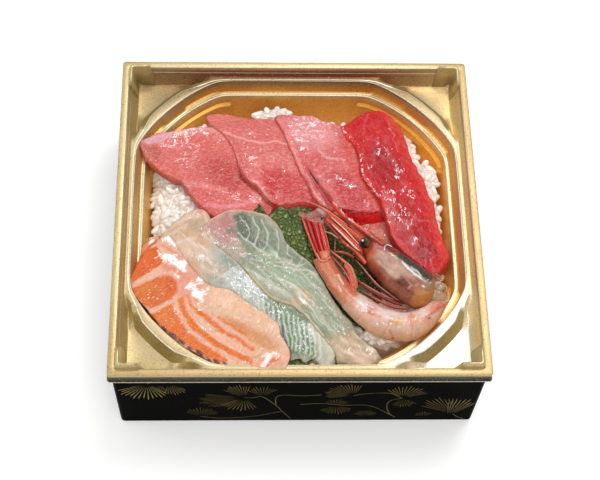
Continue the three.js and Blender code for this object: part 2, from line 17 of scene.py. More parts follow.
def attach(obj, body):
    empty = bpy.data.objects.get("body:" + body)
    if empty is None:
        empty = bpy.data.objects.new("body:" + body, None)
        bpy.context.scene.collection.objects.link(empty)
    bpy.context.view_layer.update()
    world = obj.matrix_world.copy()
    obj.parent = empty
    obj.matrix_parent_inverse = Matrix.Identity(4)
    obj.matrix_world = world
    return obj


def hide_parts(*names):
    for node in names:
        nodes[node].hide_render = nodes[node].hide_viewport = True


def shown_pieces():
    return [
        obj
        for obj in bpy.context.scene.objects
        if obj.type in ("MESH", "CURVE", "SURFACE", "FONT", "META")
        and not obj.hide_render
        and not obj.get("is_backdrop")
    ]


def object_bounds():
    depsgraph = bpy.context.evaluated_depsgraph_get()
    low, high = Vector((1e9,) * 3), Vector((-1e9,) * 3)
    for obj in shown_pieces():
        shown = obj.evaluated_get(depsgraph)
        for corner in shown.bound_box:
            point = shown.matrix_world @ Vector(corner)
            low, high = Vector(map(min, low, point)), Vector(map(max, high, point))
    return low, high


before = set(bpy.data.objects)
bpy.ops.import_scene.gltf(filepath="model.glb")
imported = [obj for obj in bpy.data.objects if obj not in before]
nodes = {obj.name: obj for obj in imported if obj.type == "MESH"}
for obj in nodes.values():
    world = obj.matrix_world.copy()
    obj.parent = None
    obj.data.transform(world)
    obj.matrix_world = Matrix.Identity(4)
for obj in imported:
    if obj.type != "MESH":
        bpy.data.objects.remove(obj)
cad_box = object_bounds()
MM = 0.001
print(len(nodes), "nodes, box in mm:", [[round(v / MM, 1) for v in corner] for corner in cad_box])

# %% [markdown]
# ## The camera
# The bowl is seen from above and in front with a long lens, which keeps its sides nearly
# parallel. Three directions of the camera are worked out once, because later cells also use
# them to find where a place seen in the picture lies on the food.

# %% Set the camera
IMAGE = (600, 480)
LENS, SENSOR = 85.1, 36.0
FOCAL = LENS / SENSOR * IMAGE[0]
CAMERA_AT = Vector((-0.0237, -0.3296, 0.6080))
AZIMUTH, ELEVATION, ROLL = (math.radians(angle) for angle in (-4.465, 60.377, 3.942))


def camera_axes():
    """The camera's right, up and backward directions."""
    back = Vector((
        math.sin(AZIMUTH) * math.cos(ELEVATION),
        -math.cos(AZIMUTH) * math.cos(ELEVATION),
        math.sin(ELEVATION),
    ))
    level = Vector((math.cos(AZIMUTH), math.sin(AZIMUTH), 0))
    right = level * math.cos(ROLL) + back.cross(level) * math.sin(ROLL)
    return right, back.cross(right), back


RIGHT, UP, BACK = camera_axes()
camera = bpy.data.objects.new("camera", bpy.data.cameras.new("camera"))
bpy.context.scene.collection.objects.link(camera)
camera.data.lens, camera.data.sensor_width = LENS, SENSOR
camera.data.clip_start, camera.data.clip_end = 0.01, 20
camera.matrix_world = Matrix.Translation(CAMERA_AT) @ Matrix((RIGHT, UP, BACK)).transposed().to_4x4()
bpy.context.scene.camera = camera
print("camera at", [round(v, 3) for v in CAMERA_AT])

# %% [markdown]
# ## Floor and light
# Food looks fresh under a broad lamp from behind, because wet surfaces mirror it towards the
# viewer. A small lamp beside it makes the sharp glints. Two weaker softboxes keep the front
# and the left from going dark, and the room is bright overhead but dim at the horizon, so
# that metal shows light and dark bands.

# %% Lay the floor and hang the lamps
bpy.context.scene.view_settings.view_transform = "Standard"
FLOOR_HALF = 2.5
floor_mesh = bpy.data.meshes.new("floor")
corners = [(-FLOOR_HALF, -FLOOR_HALF, 0), (FLOOR_HALF, -FLOOR_HALF, 0),
           (FLOOR_HALF, FLOOR_HALF, 0), (-FLOOR_HALF, FLOOR_HALF, 0)]
floor_mesh.from_pydata(corners, [], [(0, 1, 2, 3)])
floor = bpy.data.objects.new("floor", floor_mesh)
bpy.context.scene.collection.objects.link(floor)
floor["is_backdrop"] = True
LAMPS = {
    "back_softbox": {"at": (0.30, 0.38, 1.00), "side": 0.50, "watts": 4.2},
    "left_softbox": {"at": (-0.75, -0.05, 0.85), "side": 0.60, "watts": 2.0},
    "front_softbox": {"at": (0.10, -0.85, 1.05), "side": 0.90, "watts": 3.2},
    "glint_lamp": {"at": (0.02, 0.62, 1.05), "side": 0.10, "watts": 0.9},
}
HORIZON_LIGHT, OVERHEAD_LIGHT = 0.20, 0.66
for name, lamp in LAMPS.items():
    light = bpy.data.lights.new(name, "AREA")
    light.energy, light.size = lamp["watts"], lamp["side"]
    hung = bpy.data.objects.new(name, light)
    hung.location = lamp["at"]
    hung.rotation_euler = (Vector((0, 0, 0.04)) - hung.location).to_track_quat("-Z", "Y").to_euler()
    bpy.context.scene.collection.objects.link(hung)
world = bpy.data.worlds.new("room")
world.use_nodes = True
room = world.node_tree
way = room.nodes.new("ShaderNodeTexCoord")
split = room.nodes.new("ShaderNodeSeparateXYZ")
rise = room.nodes.new("ShaderNodeMapRange")
rise.interpolation_type = "SMOOTHSTEP"
rise.inputs["From Min"].default_value, rise.inputs["From Max"].default_value = 0.15, 0.95
rise.inputs["To Min"].default_value, rise.inputs["To Max"].default_value = HORIZON_LIGHT, OVERHEAD_LIGHT
room.links.new(way.outputs["Generated"], split.inputs[0])
room.links.new(split.outputs["Z"], rise.inputs["Value"])
room.links.new(rise.outputs["Result"], room.nodes["Background"].inputs["Strength"])
room.nodes["Background"].inputs["Color"].default_value = (1, 0.99, 0.97, 1)
bpy.context.scene.world = world
print(len(LAMPS), "lamps")

# %% [markdown]
# ## Making meshes
# A thin moulding or a fillet of fish is a skin over rows of points. One helper turns rows
# into faces, one draws a smooth line through a few points, and one turns the result into a
# piece that rides on the bowl and stands for the plain solids it covers. A traced line is
# written as text, "147 160, 158 168", with a space between the numbers of a point and a
# comma between points.

# %% Helpers for lines, rows and pieces


def traced(line):
    """The points of a line written as text. A line that is points already stays as it is."""
    if isinstance(line, str):
        return [tuple(float(number) for number in point.split()) for point in line.split(",")]
    return line


def smooth_line(points, count):
    """A smooth line through the points, as count places along it."""
    inner = np.asarray(traced(points), float)
    padded = np.vstack([2 * inner[0] - inner[1], inner, 2 * inner[-1] - inner[-2]])
    place = np.linspace(0, len(inner) - 1, count)
    first = np.minimum(place.astype(int), len(inner) - 2)
    f = (place - first)[:, None]
    a, b, c, d = (padded[first + step] for step in range(4))
    return 0.5 * (2 * b + (c - a) * f + (2 * a - 5 * b + 4 * c - d) * f**2 + (3 * b - a - 3 * c + d) * f**3)


def smooth_values(values, count):
    """The same for plain numbers."""
    return smooth_line(np.array(values, float)[:, None], count)[:, 0]


def row_faces(rows, columns, closed=True):
    """The four-sided faces between rows of points. Closed rows join their last point to the first."""
    wide = columns if closed else columns - 1
    return [
        (r * columns + c, r * columns + (c + 1) % columns,
         (r + 1) * columns + (c + 1) % columns, (r + 1) * columns + c)
        for r in range(rows - 1)
        for c in range(wide)
    ]


def closed_loft(rings):
    """Points and faces of a skin over the rings, with both ends capped."""
    rings = np.asarray(rings, float)
    rows, columns = rings.shape[:2]
    points = np.vstack([rings.reshape(-1, 3), rings[0].mean(0), rings[-1].mean(0)])
    faces = row_faces(rows, columns)
    start, end = len(points) - 2, len(points) - 1
    last = (rows - 1) * columns
    for c in range(columns):
        faces.append((start, (c + 1) % columns, c))
        faces.append((end, last + c, last + (c + 1) % columns))
    return points, faces


def joined(parts):
    """Several (points, faces) as one."""
    points, faces, count = [], [], 0
    for more_points, more_faces in parts:
        points.append(more_points)
        faces.extend(tuple(i + count for i in face) for face in more_faces)
        count += len(more_points)
    return np.vstack(points), faces


def make_piece(name, points, faces, material, slot, stands_for=()):
    """A smooth mesh piece that rides on the bowl."""
    mesh = bpy.data.meshes.new(name)
    mesh.from_pydata((np.asarray(points) * MM).tolist(), [], faces)
    mesh.shade_smooth()
    mesh.materials.append(material)
    piece = bpy.data.objects.new(name, mesh)
    bpy.context.scene.collection.objects.link(piece)
    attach(piece, "root")
    if stands_for:
        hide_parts(*stands_for)
    return piece


def where_points(piece):
    """The piece's points in mm."""
    places = np.empty(len(piece.data.vertices) * 3)
    piece.data.vertices.foreach_get("co", places)
    return places.reshape(-1, 3) / MM


def move_points(piece, places):
    """Puts the piece's points at these places in mm."""
    piece.data.vertices.foreach_set("co", (places * MM).ravel())
    piece.data.update()


def point_normals(piece):
    """The way each point of the piece faces."""
    facing = np.empty(len(piece.data.vertices) * 3)
    piece.data.vertex_normals.foreach_get("vector", facing)
    return facing.reshape(-1, 3)


def cloud(points, size, seed=0):
    """Soft random values from 0 to 1, in lumps of about this size."""
    spot = points / size + 31.7 * seed
    cell = np.floor(spot).astype(np.int64)
    f = spot - cell
    f = f * f * (3 - 2 * f)

    def corner(x, y, z):
        mixed = (cell[:, 0] + x) * 73856093 ^ (cell[:, 1] + y) * 19349663 ^ (cell[:, 2] + z) * 83492791
        mixed = (mixed ^ (mixed >> 13)) * 1274126177 & 0xFFFFFFFF
        return (mixed >> 8 & 0xFFFF) / 65535

    total = np.zeros(len(points))
    for x in (0, 1):
        for y in (0, 1):
            for z in (0, 1):
                share = [f[:, i] if step else 1 - f[:, i] for i, step in enumerate((x, y, z))]
                total += corner(x, y, z) * share[0] * share[1] * share[2]
    return total


print("a line through 3 points:", smooth_line("0 0, 1 1, 2 0", 5).round(2).tolist())

# %% [markdown]
# ## Painting
# Every slice has its own fat lines and dark patches, which no even pattern gives. They are
# painted the way a food modeller does it: a few strokes, spots and areas, each placed where
# the picture shows it, and stored as a colour on every point of the mesh. Some touches are
# painted light and shade: highlights, glints and the shadows between pieces. The shader adds
# the fine grain later. Places and widths are pixels of the 600 by 480 picture, and a plain
# colour is written as on a web page, "#d6645d", two digits each for red, green and blue.

# %% Helpers for paint


def rgb(red, green, blue):
    """A screen colour from 0 to 255 as the linear light that Blender mixes."""
    channels = [value / 255 for value in (red, green, blue)]
    return np.array([c / 12.92 if c <= 0.04045 else ((c + 0.055) / 1.055) ** 2.4 for c in channels])


def linear(colour):
    """The same for a colour written as "#d6645d". Other colours are linear already."""
    if isinstance(colour, str):
        return rgb(*(int(colour[place:place + 2], 16) for place in (1, 3, 5)))
    return colour


def in_picture(points):
    """The pixel at which each point, in mm, is seen."""
    ways = (points * MM - np.array(CAMERA_AT)) @ np.array((RIGHT, UP, BACK)).T
    across = IMAGE[0] / 2 - FOCAL * ways[:, 0] / ways[:, 2]
    down = IMAGE[1] / 2 + FOCAL * ways[:, 1] / ways[:, 2]
    return np.stack([across, down], 1)


def at_height(pixels, heights):
    """Where the sight lines through these pixels reach the heights, in mm."""
    x, y = np.asarray(pixels, float).T
    steps = (x - IMAGE[0] / 2, IMAGE[1] / 2 - y, np.full(len(x), -FOCAL))
    rays = np.stack(steps, 1) @ np.array((RIGHT, UP, BACK))
    reach = (np.asarray(heights) * MM - CAMERA_AT.z) / rays[:, 2]
    return (np.array(CAMERA_AT) + rays * reach[:, None]) / MM


def ease(low, high, value):
    """0 below low, 1 above high, smooth between."""
    t = np.clip((value - low) / (high - low), 0, 1)
    return t * t * (3 - 2 * t)


def distance_to_line(places, line):
    """How far each place is from a line of straight pieces."""
    nearest = np.full(len(places), np.inf)
    for start, end in zip(line[:-1], line[1:]):
        way = end - start
        along = np.clip((places - start) @ way / max(way @ way, 1e-9), 0, 1)
        nearest = np.minimum(nearest, np.linalg.norm(places - start - along[:, None] * way, axis=1))
    return nearest


def stroke(path, width, soft=1.5):
    """A brush stroke along a smooth line."""
    line = smooth_line(path, 5 * len(traced(path)))
    return lambda places: 1 - ease(width / 2 - soft, width / 2 + soft, distance_to_line(places, line))


def spot(across, down, wide, high, turn=0, soft=0.5):
    """An oval spot: its middle, its two radii, its turn, and the share of it that fades."""
    cosine, sine = math.cos(math.radians(turn)), math.sin(math.radians(turn))

    def mask(places):
        x, y = (places - np.array((across, down))).T
        reach = np.hypot((x * cosine + y * sine) / wide, (y * cosine - x * sine) / high)
        return 1 - ease(1 - soft, 1 + soft, reach)
    return mask


def area(corners, soft=1.5):
    """A filled outline."""
    corners = list(traced(corners))
    ring = np.array(corners + corners[:1], float)

    def mask(places):
        inside = np.zeros(len(places), bool)
        for (x1, y1), (x2, y2) in zip(ring[:-1], ring[1:]):
            crosses = (y1 > places[:, 1]) != (y2 > places[:, 1])
            level = (places[:, 1] - y1) / (y2 - y1 if y2 != y1 else 1e-9)
            inside ^= crosses & (places[:, 0] < x1 + level * (x2 - x1))
        away = distance_to_line(places, ring) * np.where(inside, -1, 1)
        return 1 - ease(-soft, soft, away)
    return mask


WOBBLE_SIZE = 2.6
BLOTCH_SIZES = (2.4, 1.0)


def painted_places(piece, wobble):
    """Each point's pixel, shifted a little so that painted edges aren't ruled lines."""
    points = where_points(piece)
    shift = np.stack([cloud(points, WOBBLE_SIZE, seed) for seed in (1, 2)], 1) - 0.5
    return in_picture(points) + 2 * wobble * shift


def store(piece, name, values):
    """Keeps a value or a colour on every point, where a shader's Attribute node finds it."""
    if values.ndim == 1:
        piece.data.attributes.new(name, "FLOAT", "POINT").data.foreach_set("value", values)
        return
    four = np.hstack([values, np.ones((len(values), 1))])
    piece.data.attributes.new(name, "FLOAT_COLOR", "POINT").data.foreach_set("color", four.ravel())


def paint(piece, base, touches=(), side=None, wobble=1.2, blotch=0.1):
    """Lays the touches, (mask, colour, strength) each, over the base and stores them as tint.

    blotch makes the whole slightly uneven, as flesh is.
    """
    places = painted_places(piece, wobble)
    tint = np.array(base) if np.ndim(base) == 2 else np.tile(linear(base), (len(places), 1))
    if side is not None:
        upright = 1 - ease(0.25, 0.7, point_normals(piece)[:, 2])
        tint += upright[:, None] * (linear(side) - tint)
    for mask, colour, strength in touches:
        tint += (strength * mask(places))[:, None] * (linear(colour) - tint)
    points = where_points(piece)
    lumps = cloud(points, BLOTCH_SIZES[0], 8) + cloud(points, BLOTCH_SIZES[1], 9) - 1
    store(piece, "tint", np.clip(tint * (1 + blotch * lumps[:, None]), 0, 1))


def mark(piece, name, touches, base=0.0, wobble=1.5):
    """The same for a plain value, such as how wet a place is."""
    places = painted_places(piece, wobble)
    value = np.full(len(places), float(base))
    for mask, level in touches:
        value += mask(places) * (level - value)
    store(piece, name, value)


print("middle of the picture at table height:", at_height([(300, 240)], 0).round(1).tolist())

# %% [markdown]
# ## Building shaders
# Shader nodes are added by three short helpers, so that a material reads like a recipe:
# add a node, calculate with it, mix two colours.

# %% Helpers for shader nodes


def feed(tree, socket, value):
    """Links a socket, or sets its value."""
    if isinstance(value, bpy.types.NodeSocket):
        tree.links.new(value, socket)
    else:
        socket.default_value = value


def add(tree, kind, inputs=(), **settings):
    """A shader node with its settings and inputs."""
    node = tree.nodes.new("ShaderNode" + kind)
    for name, value in settings.items():
        setattr(node, name, value)
    for name, value in dict(inputs).items():
        feed(tree, node.inputs[name], value)
    return node


def calc(tree, operation, *values):
    """One step of arithmetic."""
    node = add(tree, "Math", operation=operation)
    for socket, value in zip(node.inputs, values):
        feed(tree, socket, value)
    return node.outputs[0]


def blend(tree, mask, first, second, way="MIX"):
    """Two colours mixed by a mask."""
    node = add(tree, "Mix", data_type="RGBA", blend_type=way)
    for index, value in ((0, mask), (6, first), (7, second)):
        feed(tree, node.inputs[index], value)
    return node.outputs[2]


def spread(tree, value, low, high):
    """0 where the value is at low, 1 where it is at high, and no further."""
    node = add(tree, "MapRange", {"Value": value, "From Min": low, "From Max": high})
    return node.outputs["Result"]


def attribute(tree, name, output="Fac"):
    """A value or colour that was stored on the points."""
    return add(tree, "Attribute", attribute_name=name).outputs[output]


def new_group(name, inputs, outputs):
    """An empty node group. Returns its tree, its inputs and its outputs."""
    tree = bpy.data.node_groups.new(name, "ShaderNodeTree")
    for label, value in inputs.items():
        tree.interface.new_socket(label, in_out="INPUT", socket_type="NodeSocketFloat").default_value = value
    for label in outputs:
        tree.interface.new_socket(label, in_out="OUTPUT", socket_type="NodeSocketFloat")
    start, end = tree.nodes.new("NodeGroupInput"), tree.nodes.new("NodeGroupOutput")
    return tree, start.outputs, end.inputs


def use(tree, group, **inputs):
    """Places a node group. A space in an input's name is written as an underline."""
    node = tree.nodes.new("ShaderNodeGroup")
    node.node_tree = group
    for name, value in inputs.items():
        feed(tree, node.inputs[name.replace("_", " ")], value)
    return node.outputs


def new_material(name, **constants):
    """A material with its Principled BSDF. Constants are set on the shader's own sockets."""
    material = bpy.data.materials.new(name)
    material.use_nodes = True
    shader = material.node_tree.nodes["Principled BSDF"]
    for label, value in constants.items():
        shader.inputs[label.replace("_", " ")].default_value = value
    return material, material.node_tree, shader.inputs


print("helpers ready")

# %% [markdown]
# Four effects are shared, each a group with its sizes in mm. Fibre is a streaky noise that
# runs one way, as muscle does. Flecks are small irregular dots. Relief adds a coarse and a
# fine unevenness in one height. Glints are painted highlights, the thin bright squiggles of
# a wet surface: the places where a streaky noise passes through its middle value. Those lines
# fill the whole surface, as the finest grain of the flesh, and the glints are the ones in
# loose clusters.

# %% Make the shared groups
fibre_group, start, end = new_group(
    "fibre", {"Size": 1.0, "Stretch": 4.0, "Angle": 0.0, "Detail": 3.0}, ["Value"])
place = add(fibre_group, "TexCoord").outputs["Object"]
turned = add(fibre_group, "VectorRotate", {"Vector": place, "Angle": start["Angle"]},
             rotation_type="Z_AXIS").outputs[0]
split = add(fibre_group, "SeparateXYZ", {"Vector": turned}).outputs
drawn = add(fibre_group, "CombineXYZ", {
    "X": calc(fibre_group, "DIVIDE", split[0], start["Stretch"]), "Y": split[1], "Z": split[2]}).outputs[0]
per_mm = calc(fibre_group, "DIVIDE", 1000.0, start["Size"])
noise = add(fibre_group, "TexNoise", {"Vector": drawn, "Scale": per_mm, "Detail": start["Detail"],
                                       "Distortion": 0.4})
feed(fibre_group, end["Value"], noise.outputs["Fac"])

fleck_group, start, end = new_group("flecks", {"Size": 1.0, "Amount": 0.5, "Edge": 0.06}, ["Mask"])
place = add(fleck_group, "TexCoord").outputs["Object"]
per_mm = calc(fleck_group, "DIVIDE", 1000.0, start["Size"])
noise = add(fleck_group, "TexNoise", {"Vector": place, "Scale": per_mm, "Detail": 2.5, "Roughness": 0.6})
level = calc(fleck_group, "SUBTRACT", 1.0, calc(fleck_group, "MULTIPLY", start["Amount"], 0.8))
above = calc(fleck_group, "SUBTRACT", noise.outputs["Fac"], level)
feed(fleck_group, end["Mask"], spread(fleck_group, above, 0.0, start["Edge"]))

relief_group, start, end = new_group(
    "relief", {"Coarse": 3.0, "Fine": 0.8, "Fine Share": 0.3}, ["Height"])
place = add(relief_group, "TexCoord").outputs["Object"]
layers = []
for label in ("Coarse", "Fine"):
    per_mm = calc(relief_group, "DIVIDE", 1000.0, start[label])
    layers.append(add(relief_group, "TexNoise", {"Vector": place, "Scale": per_mm}).outputs["Fac"])
fine = calc(relief_group, "MULTIPLY", layers[1], start["Fine Share"])
feed(relief_group, end["Height"], calc(relief_group, "ADD", layers[0], fine))

DRY_LEVEL, WET_DROP = 0.745, 0.275
glint_group, start, end = new_group(
    "wet_glints", {"Size": 1.3, "Stretch": 1.8, "Angle": 0.0, "Wet": 0.0, "Width": 0.06}, ["Mask", "Lines"])
waves = use(glint_group, fibre_group, Size=start["Size"], Stretch=start["Stretch"], Angle=start["Angle"],
            Detail=1.0)["Value"]
off_middle = calc(glint_group, "ABSOLUTE", calc(glint_group, "SUBTRACT", waves, 0.5))
line = spread(glint_group, off_middle, start["Width"], calc(glint_group, "MULTIPLY", start["Width"], 0.35))
place = add(glint_group, "TexCoord").outputs["Object"]
per_mm = calc(glint_group, "DIVIDE", 700.0, start["Size"])
cluster = add(glint_group, "TexNoise", {"Vector": place, "Scale": per_mm, "Detail": 2.0}).outputs["Fac"]
level = calc(glint_group, "SUBTRACT", DRY_LEVEL, calc(glint_group, "MULTIPLY", start["Wet"], WET_DROP))
kept = spread(glint_group, calc(glint_group, "SUBTRACT", cluster, level), 0.0, 0.05)
feed(glint_group, end["Mask"], calc(glint_group, "MULTIPLY", line, kept))
feed(glint_group, end["Lines"], line)
print("groups:", [group.name for group in bpy.data.node_groups])

# %% [markdown]
# ## The floor's finish
# A plain pale sheet with the faintest mottling, so that it isn't a dead flat colour. It glows
# a little, like a light table, which keeps the shadow before the box from turning grey.

# %% Finish the floor
floor_paper, tree, shader = new_material("pale_floor", Roughness=0.9, Specular_IOR_Level=0.1,
                                         Emission_Color=(1, 1, 1, 1), Emission_Strength=0.28)
soft = use(tree, relief_group, Coarse=60.0, Fine=9.0)["Height"]
feed(tree, shader["Base Color"], blend(tree, soft, (0.94, 0.94, 0.94, 1), (0.97, 0.97, 0.97, 1)))
floor.data.materials.append(floor_paper)
print("floor finished")

# %% [markdown]
# ## The gold tray
# The real tray is drawn from one sheet of gold film, so it is one skin. At every angle round
# the middle its section is the same chain of corners: lip, rim, wall, ridge, ledge and well.
# Only the distances change, because the rim is square and the well is a cut circle. Polar
# rows of such sections make the whole tray, and each corner of the section is rounded.

# %% Measure the tray's outlines
RIM_TOP, RIDGE_TOP, PAD_DEPTH = 55.0, 50.0, 4.5
PAD_CIRCLE, RIDGE_CIRCLE, WELL_CIRCLE, WELL_HALF, WELL_BLEND = 91.0, 87.5, 83.5, 75.2, 1.5
POCKETS = (5.0, 18.0)
PANEL_END = 21.0


def square_reach(angle, half, corner):
    """How far from the middle a rounded square lies at each angle."""
    a = math.pi / 4 - np.abs(np.mod(angle, math.pi / 2) - math.pi / 4)
    inner = half - corner
    along = inner * (np.cos(a) + np.sin(a))
    bend = along + np.sqrt(np.maximum(along**2 - 2 * inner**2 + corner**2, 0))
    return np.where(np.tan(a) * half <= inner, half / np.cos(a), bend)


def well_reach(angle, inset):
    """The same for the well's mouth, which is a circle with four straight cuts."""
    cut = (WELL_HALF - inset) / np.maximum(np.abs(np.cos(angle)), np.abs(np.sin(angle)))
    circle = WELL_CIRCLE - inset
    return (cut + circle - np.hypot(cut - circle, WELL_BLEND)) / 2


def tray_angles():
    """Angles round the tray, closer together towards each corner."""
    eighth = np.concatenate([np.arange(0, 42, 0.6), np.arange(42, 44, 0.25), np.arange(44, 45, 0.1)])
    quarter = np.concatenate([eighth, 90 - eighth[:0:-1]])
    return np.radians(np.concatenate([quarter + turn for turn in (0, 90, 180, 270)]))


angles = tray_angles()
print(len(angles), "sections round the tray")

# %% [markdown]
# The section's corners follow. The sunk pads, the pockets beside the ledge and the panel
# pressed into the lower wall only exist near the tray's corners, so their depths fade out
# with the angle from the diagonal.

# %% Draw the tray's section at every angle


def tray_section(angle):
    """The section's corners as (distance, height, rounding, film), each for all the angles."""
    from_diagonal = np.degrees(np.abs(np.mod(angle, math.pi / 2) - math.pi / 4))
    pocket = ease(POCKETS[0] - 0.5, POCKETS[0] + 0.3, from_diagonal)
    pocket = pocket * (1 - ease(POCKETS[1] - 0.3, POCKETS[1] + 0.5, from_diagonal))
    panel = 1 - ease(PANEL_END - 0.9, PANEL_END + 0.9, from_diagonal)
    straight = ease(18, 24, from_diagonal)

    def square(half, corner=1.5):
        return square_reach(angle, half, corner)

    def well(inset):
        return well_reach(angle, inset)

    def sink(reach):
        return PAD_DEPTH * np.clip((reach - RIDGE_CIRCLE) / (PAD_CIRCLE - RIDGE_CIRCLE), 0, 1)

    depth = sink(square(77.3, 3))
    foot = square_reach(angle, 77.3 - 2.1 * depth / PAD_DEPTH, 3)
    mouth = well(0)
    slope_top = np.minimum(RIDGE_CIRCLE, mouth + 0.33 * (foot - mouth))
    slope_foot = np.minimum(PAD_CIRCLE, mouth + 0.67 * (foot - mouth))
    level = np.zeros_like(angle)
    return [
        (square(81.9), level + 53.6, 0.0, "shade"),
        (square(82.2), level + 49.1, 0.1, "shade"),
        (square(82.9), level + 48.8, 0.15, "edge"),
        (square(82.9), level + 49.1, 0.1, "edge"),
        (square(82.5), level + 49.3, 0.1, "shade"),
        (square(82.3), level + 49.9, 0.0, "shade"),
        (square(82.4), level + 53.5, 0.0, "shade"),
        (square(82.5), level + 54.1, 0.0, "gold"),
        (square(82.5), level + RIM_TOP, 0.6, "rim"),
        (square(79.3, 2.5), level + RIM_TOP, 0.45, "rim"),
        (square(78.5, 2.7), level + 52.5, 0.15, "wall"),
        (square(78.1, 2.8), level + 52.1, 0.15, "wall"),
        (foot, RIDGE_TOP - depth, 0.6, "wall"),
        (slope_foot, RIDGE_TOP - sink(slope_foot), 0.3, "ridge"),
        (slope_top, RIDGE_TOP - sink(slope_top), 0.4, "ridge"),
        ((mouth + slope_top) / 2, RIDGE_TOP - 0.3 * straight, 0.3, "ridge"),
        (mouth, level + RIDGE_TOP, 0.45, "ridge"),
        (well(2.1 - 1.3 * pocket), 44.3 - 0.6 * pocket, 0.2, "deep"),
        (well(2.9), 43.7 - 0.1 * pocket, 0.25, "gold"),
        (well(4.2), level + 43.9, 0.4, "gold"),
        (well(5.1 - 0.3 * panel), 40.3 - 1.2 * panel, 0.3, "deep"),
        (well(5.6 + 1.3 * panel), 38.4 + 0.3 * panel, 0.5, "deep"),
        (well(11.0), level + 17.5, 1.0, "deep"),
        (well(13.0), level + 16.0, 0.8, "deep"),
        (level + 30.0, level + 16.0, 0.0, "deep"),
    ]


# The middle ring of each of these bends gets the "crest" tone, a painted highlight line.
LIT_CORNERS = (9, 11, 14, 16, 18, 19)
SLOPE_FOOT, SLOPE_TOP = 13, 14


def rounded_section(section, angle):
    """Rings of points, with three points for each rounded corner."""
    flat = [np.stack([reach, height], 1) for reach, height, _, _ in section]
    rounding = [size for _, _, size, _ in section]
    rings, films = [], []
    for k, corner in enumerate(flat):
        film = section[k][3]
        films += [film] if rounding[k] == 0 else [film, "crest" if k in LIT_CORNERS else film, film]
        if rounding[k] == 0:
            rings.append(corner)
            continue
        before, after = flat[k - 1] - corner, flat[k + 1] - corner
        lengths = [np.linalg.norm(way, axis=1, keepdims=True) for way in (before, after)]
        cut = np.minimum(rounding[k], 0.45 * np.minimum(*lengths))
        start, end = corner + before / lengths[0] * cut, corner + after / lengths[1] * cut
        rings += [start, 0.25 * start + 0.5 * corner + 0.25 * end, end]
    return [
        np.stack([ring[:, 0] * np.cos(angle), ring[:, 0] * np.sin(angle), ring[:, 1]], 1) for ring in rings
    ], films


section = tray_section(angles)
tray_rings, ring_films = rounded_section(section, angles)
print(len(tray_rings), "rings of", len(angles), "points")

# %% [markdown]
# The four lugs that hold the lid are drawn from the same film. Each is a tall, narrow bend
# round a corner of the rim, with slanted ends. It is a loft of one section along an L.

# %% Bend the lugs
LUG_SECTION = [
    (75.1, 45.7), (77.4, 57.5), (77.7, 57.95), (78.4, 57.95), (78.7, 57.5), (79.5, 54.6), (78.0, 46),
]
LUG_END, LUG_SLANT, LUG_BEND = 67.2, 2.2, 1.1


def lug(turn):
    """One lug, turned to its corner."""
    rings = []
    for share in (0.0, 0.5, 1.0):
        ring = []
        for d, z in LUG_SECTION:
            start = LUG_END + LUG_SLANT * (z - 46) / 12
            ring.append((start + share * (d - LUG_BEND - start), d, z))
        rings.append(ring)
    for t in (0.25, 0.5, 0.75):
        ring = []
        for d, z in LUG_SECTION:
            along, across = LUG_BEND * (1 - t) ** 2, LUG_BEND * t**2
            ring.append((d - along, d - across, z))
        rings.append(ring)
    rings += [[(y, x, z) for x, y, z in ring] for ring in reversed(rings[:3])]
    points, faces = closed_loft(rings)
    cosine, sine = math.cos(turn), math.sin(turn)
    x, y, z = points.T
    return np.stack([x * cosine - y * sine, x * sine + y * cosine, z], 1), faces


tray_skin = np.vstack(tray_rings), row_faces(len(tray_rings), len(angles))
tray_parts = [tray_skin] + [lug(quarter * math.pi / 2) for quarter in range(4)]
print("tray faces:", sum(len(faces) for _, faces in tray_parts))

# %% [markdown]
# The finish is metal on plastic. The film is a pale gold where it lies flat. Its tones on the
# rings are partly painted light and shade: the walls are painted darker and a deeper orange
# for the gold that they mirror in each other, the lip's outer face is painted a nearly black
# brown as shade, and the walls at the back are browner as a painted reflection of the dark
# side of the room. Very fine pits and specks scatter the highlights.

# %% Finish and place the tray
# Film tones: "shade" is painted shade on the lip's outer face, "edge" a painted highlight on its flange, and
# "crest" a painted highlight line on each lit bend.
FILMS = {
    "rim": (0.68, 0.56, 0.30), "gold": (0.66, 0.55, 0.30), "ridge": (0.60, 0.48, 0.28),
    "deep": (0.78, 0.46, 0.11), "wall": (0.58, 0.46, 0.22), "shade": (0.030, 0.020, 0.005),
    "edge": (0.60, 0.58, 0.46), "crest": (1.0, 0.98, 0.86),
}
# A darker olive painted as shade on the slopes that rise from the sunk pads.
SUNK_SLOPE_PAINTED_SHADE = (0.40, 0.30, 0.10)
# Browner tones at the back, a painted reflection of the dark side of the room.
BACK_PAINTED_REFLECTION = {
    "wall": (0.24, 0.085, 0.03), "deep": (0.74, 0.36, 0.07), "gold": (0.60, 0.46, 0.22),
    "ridge": (0.23, 0.15, 0.06),
}
# Painted light and shade by side: the near rims darker, the right walls and the well on the right lighter.
NEAR_RIM_PAINTED_SHADE, RIGHT_WALL_PAINTED_LIGHT, RIGHT_DEEP_PAINTED_LIGHT = (0.84, 0.74, 0.66), 1.7, (1.2, 0.98, 0.6)
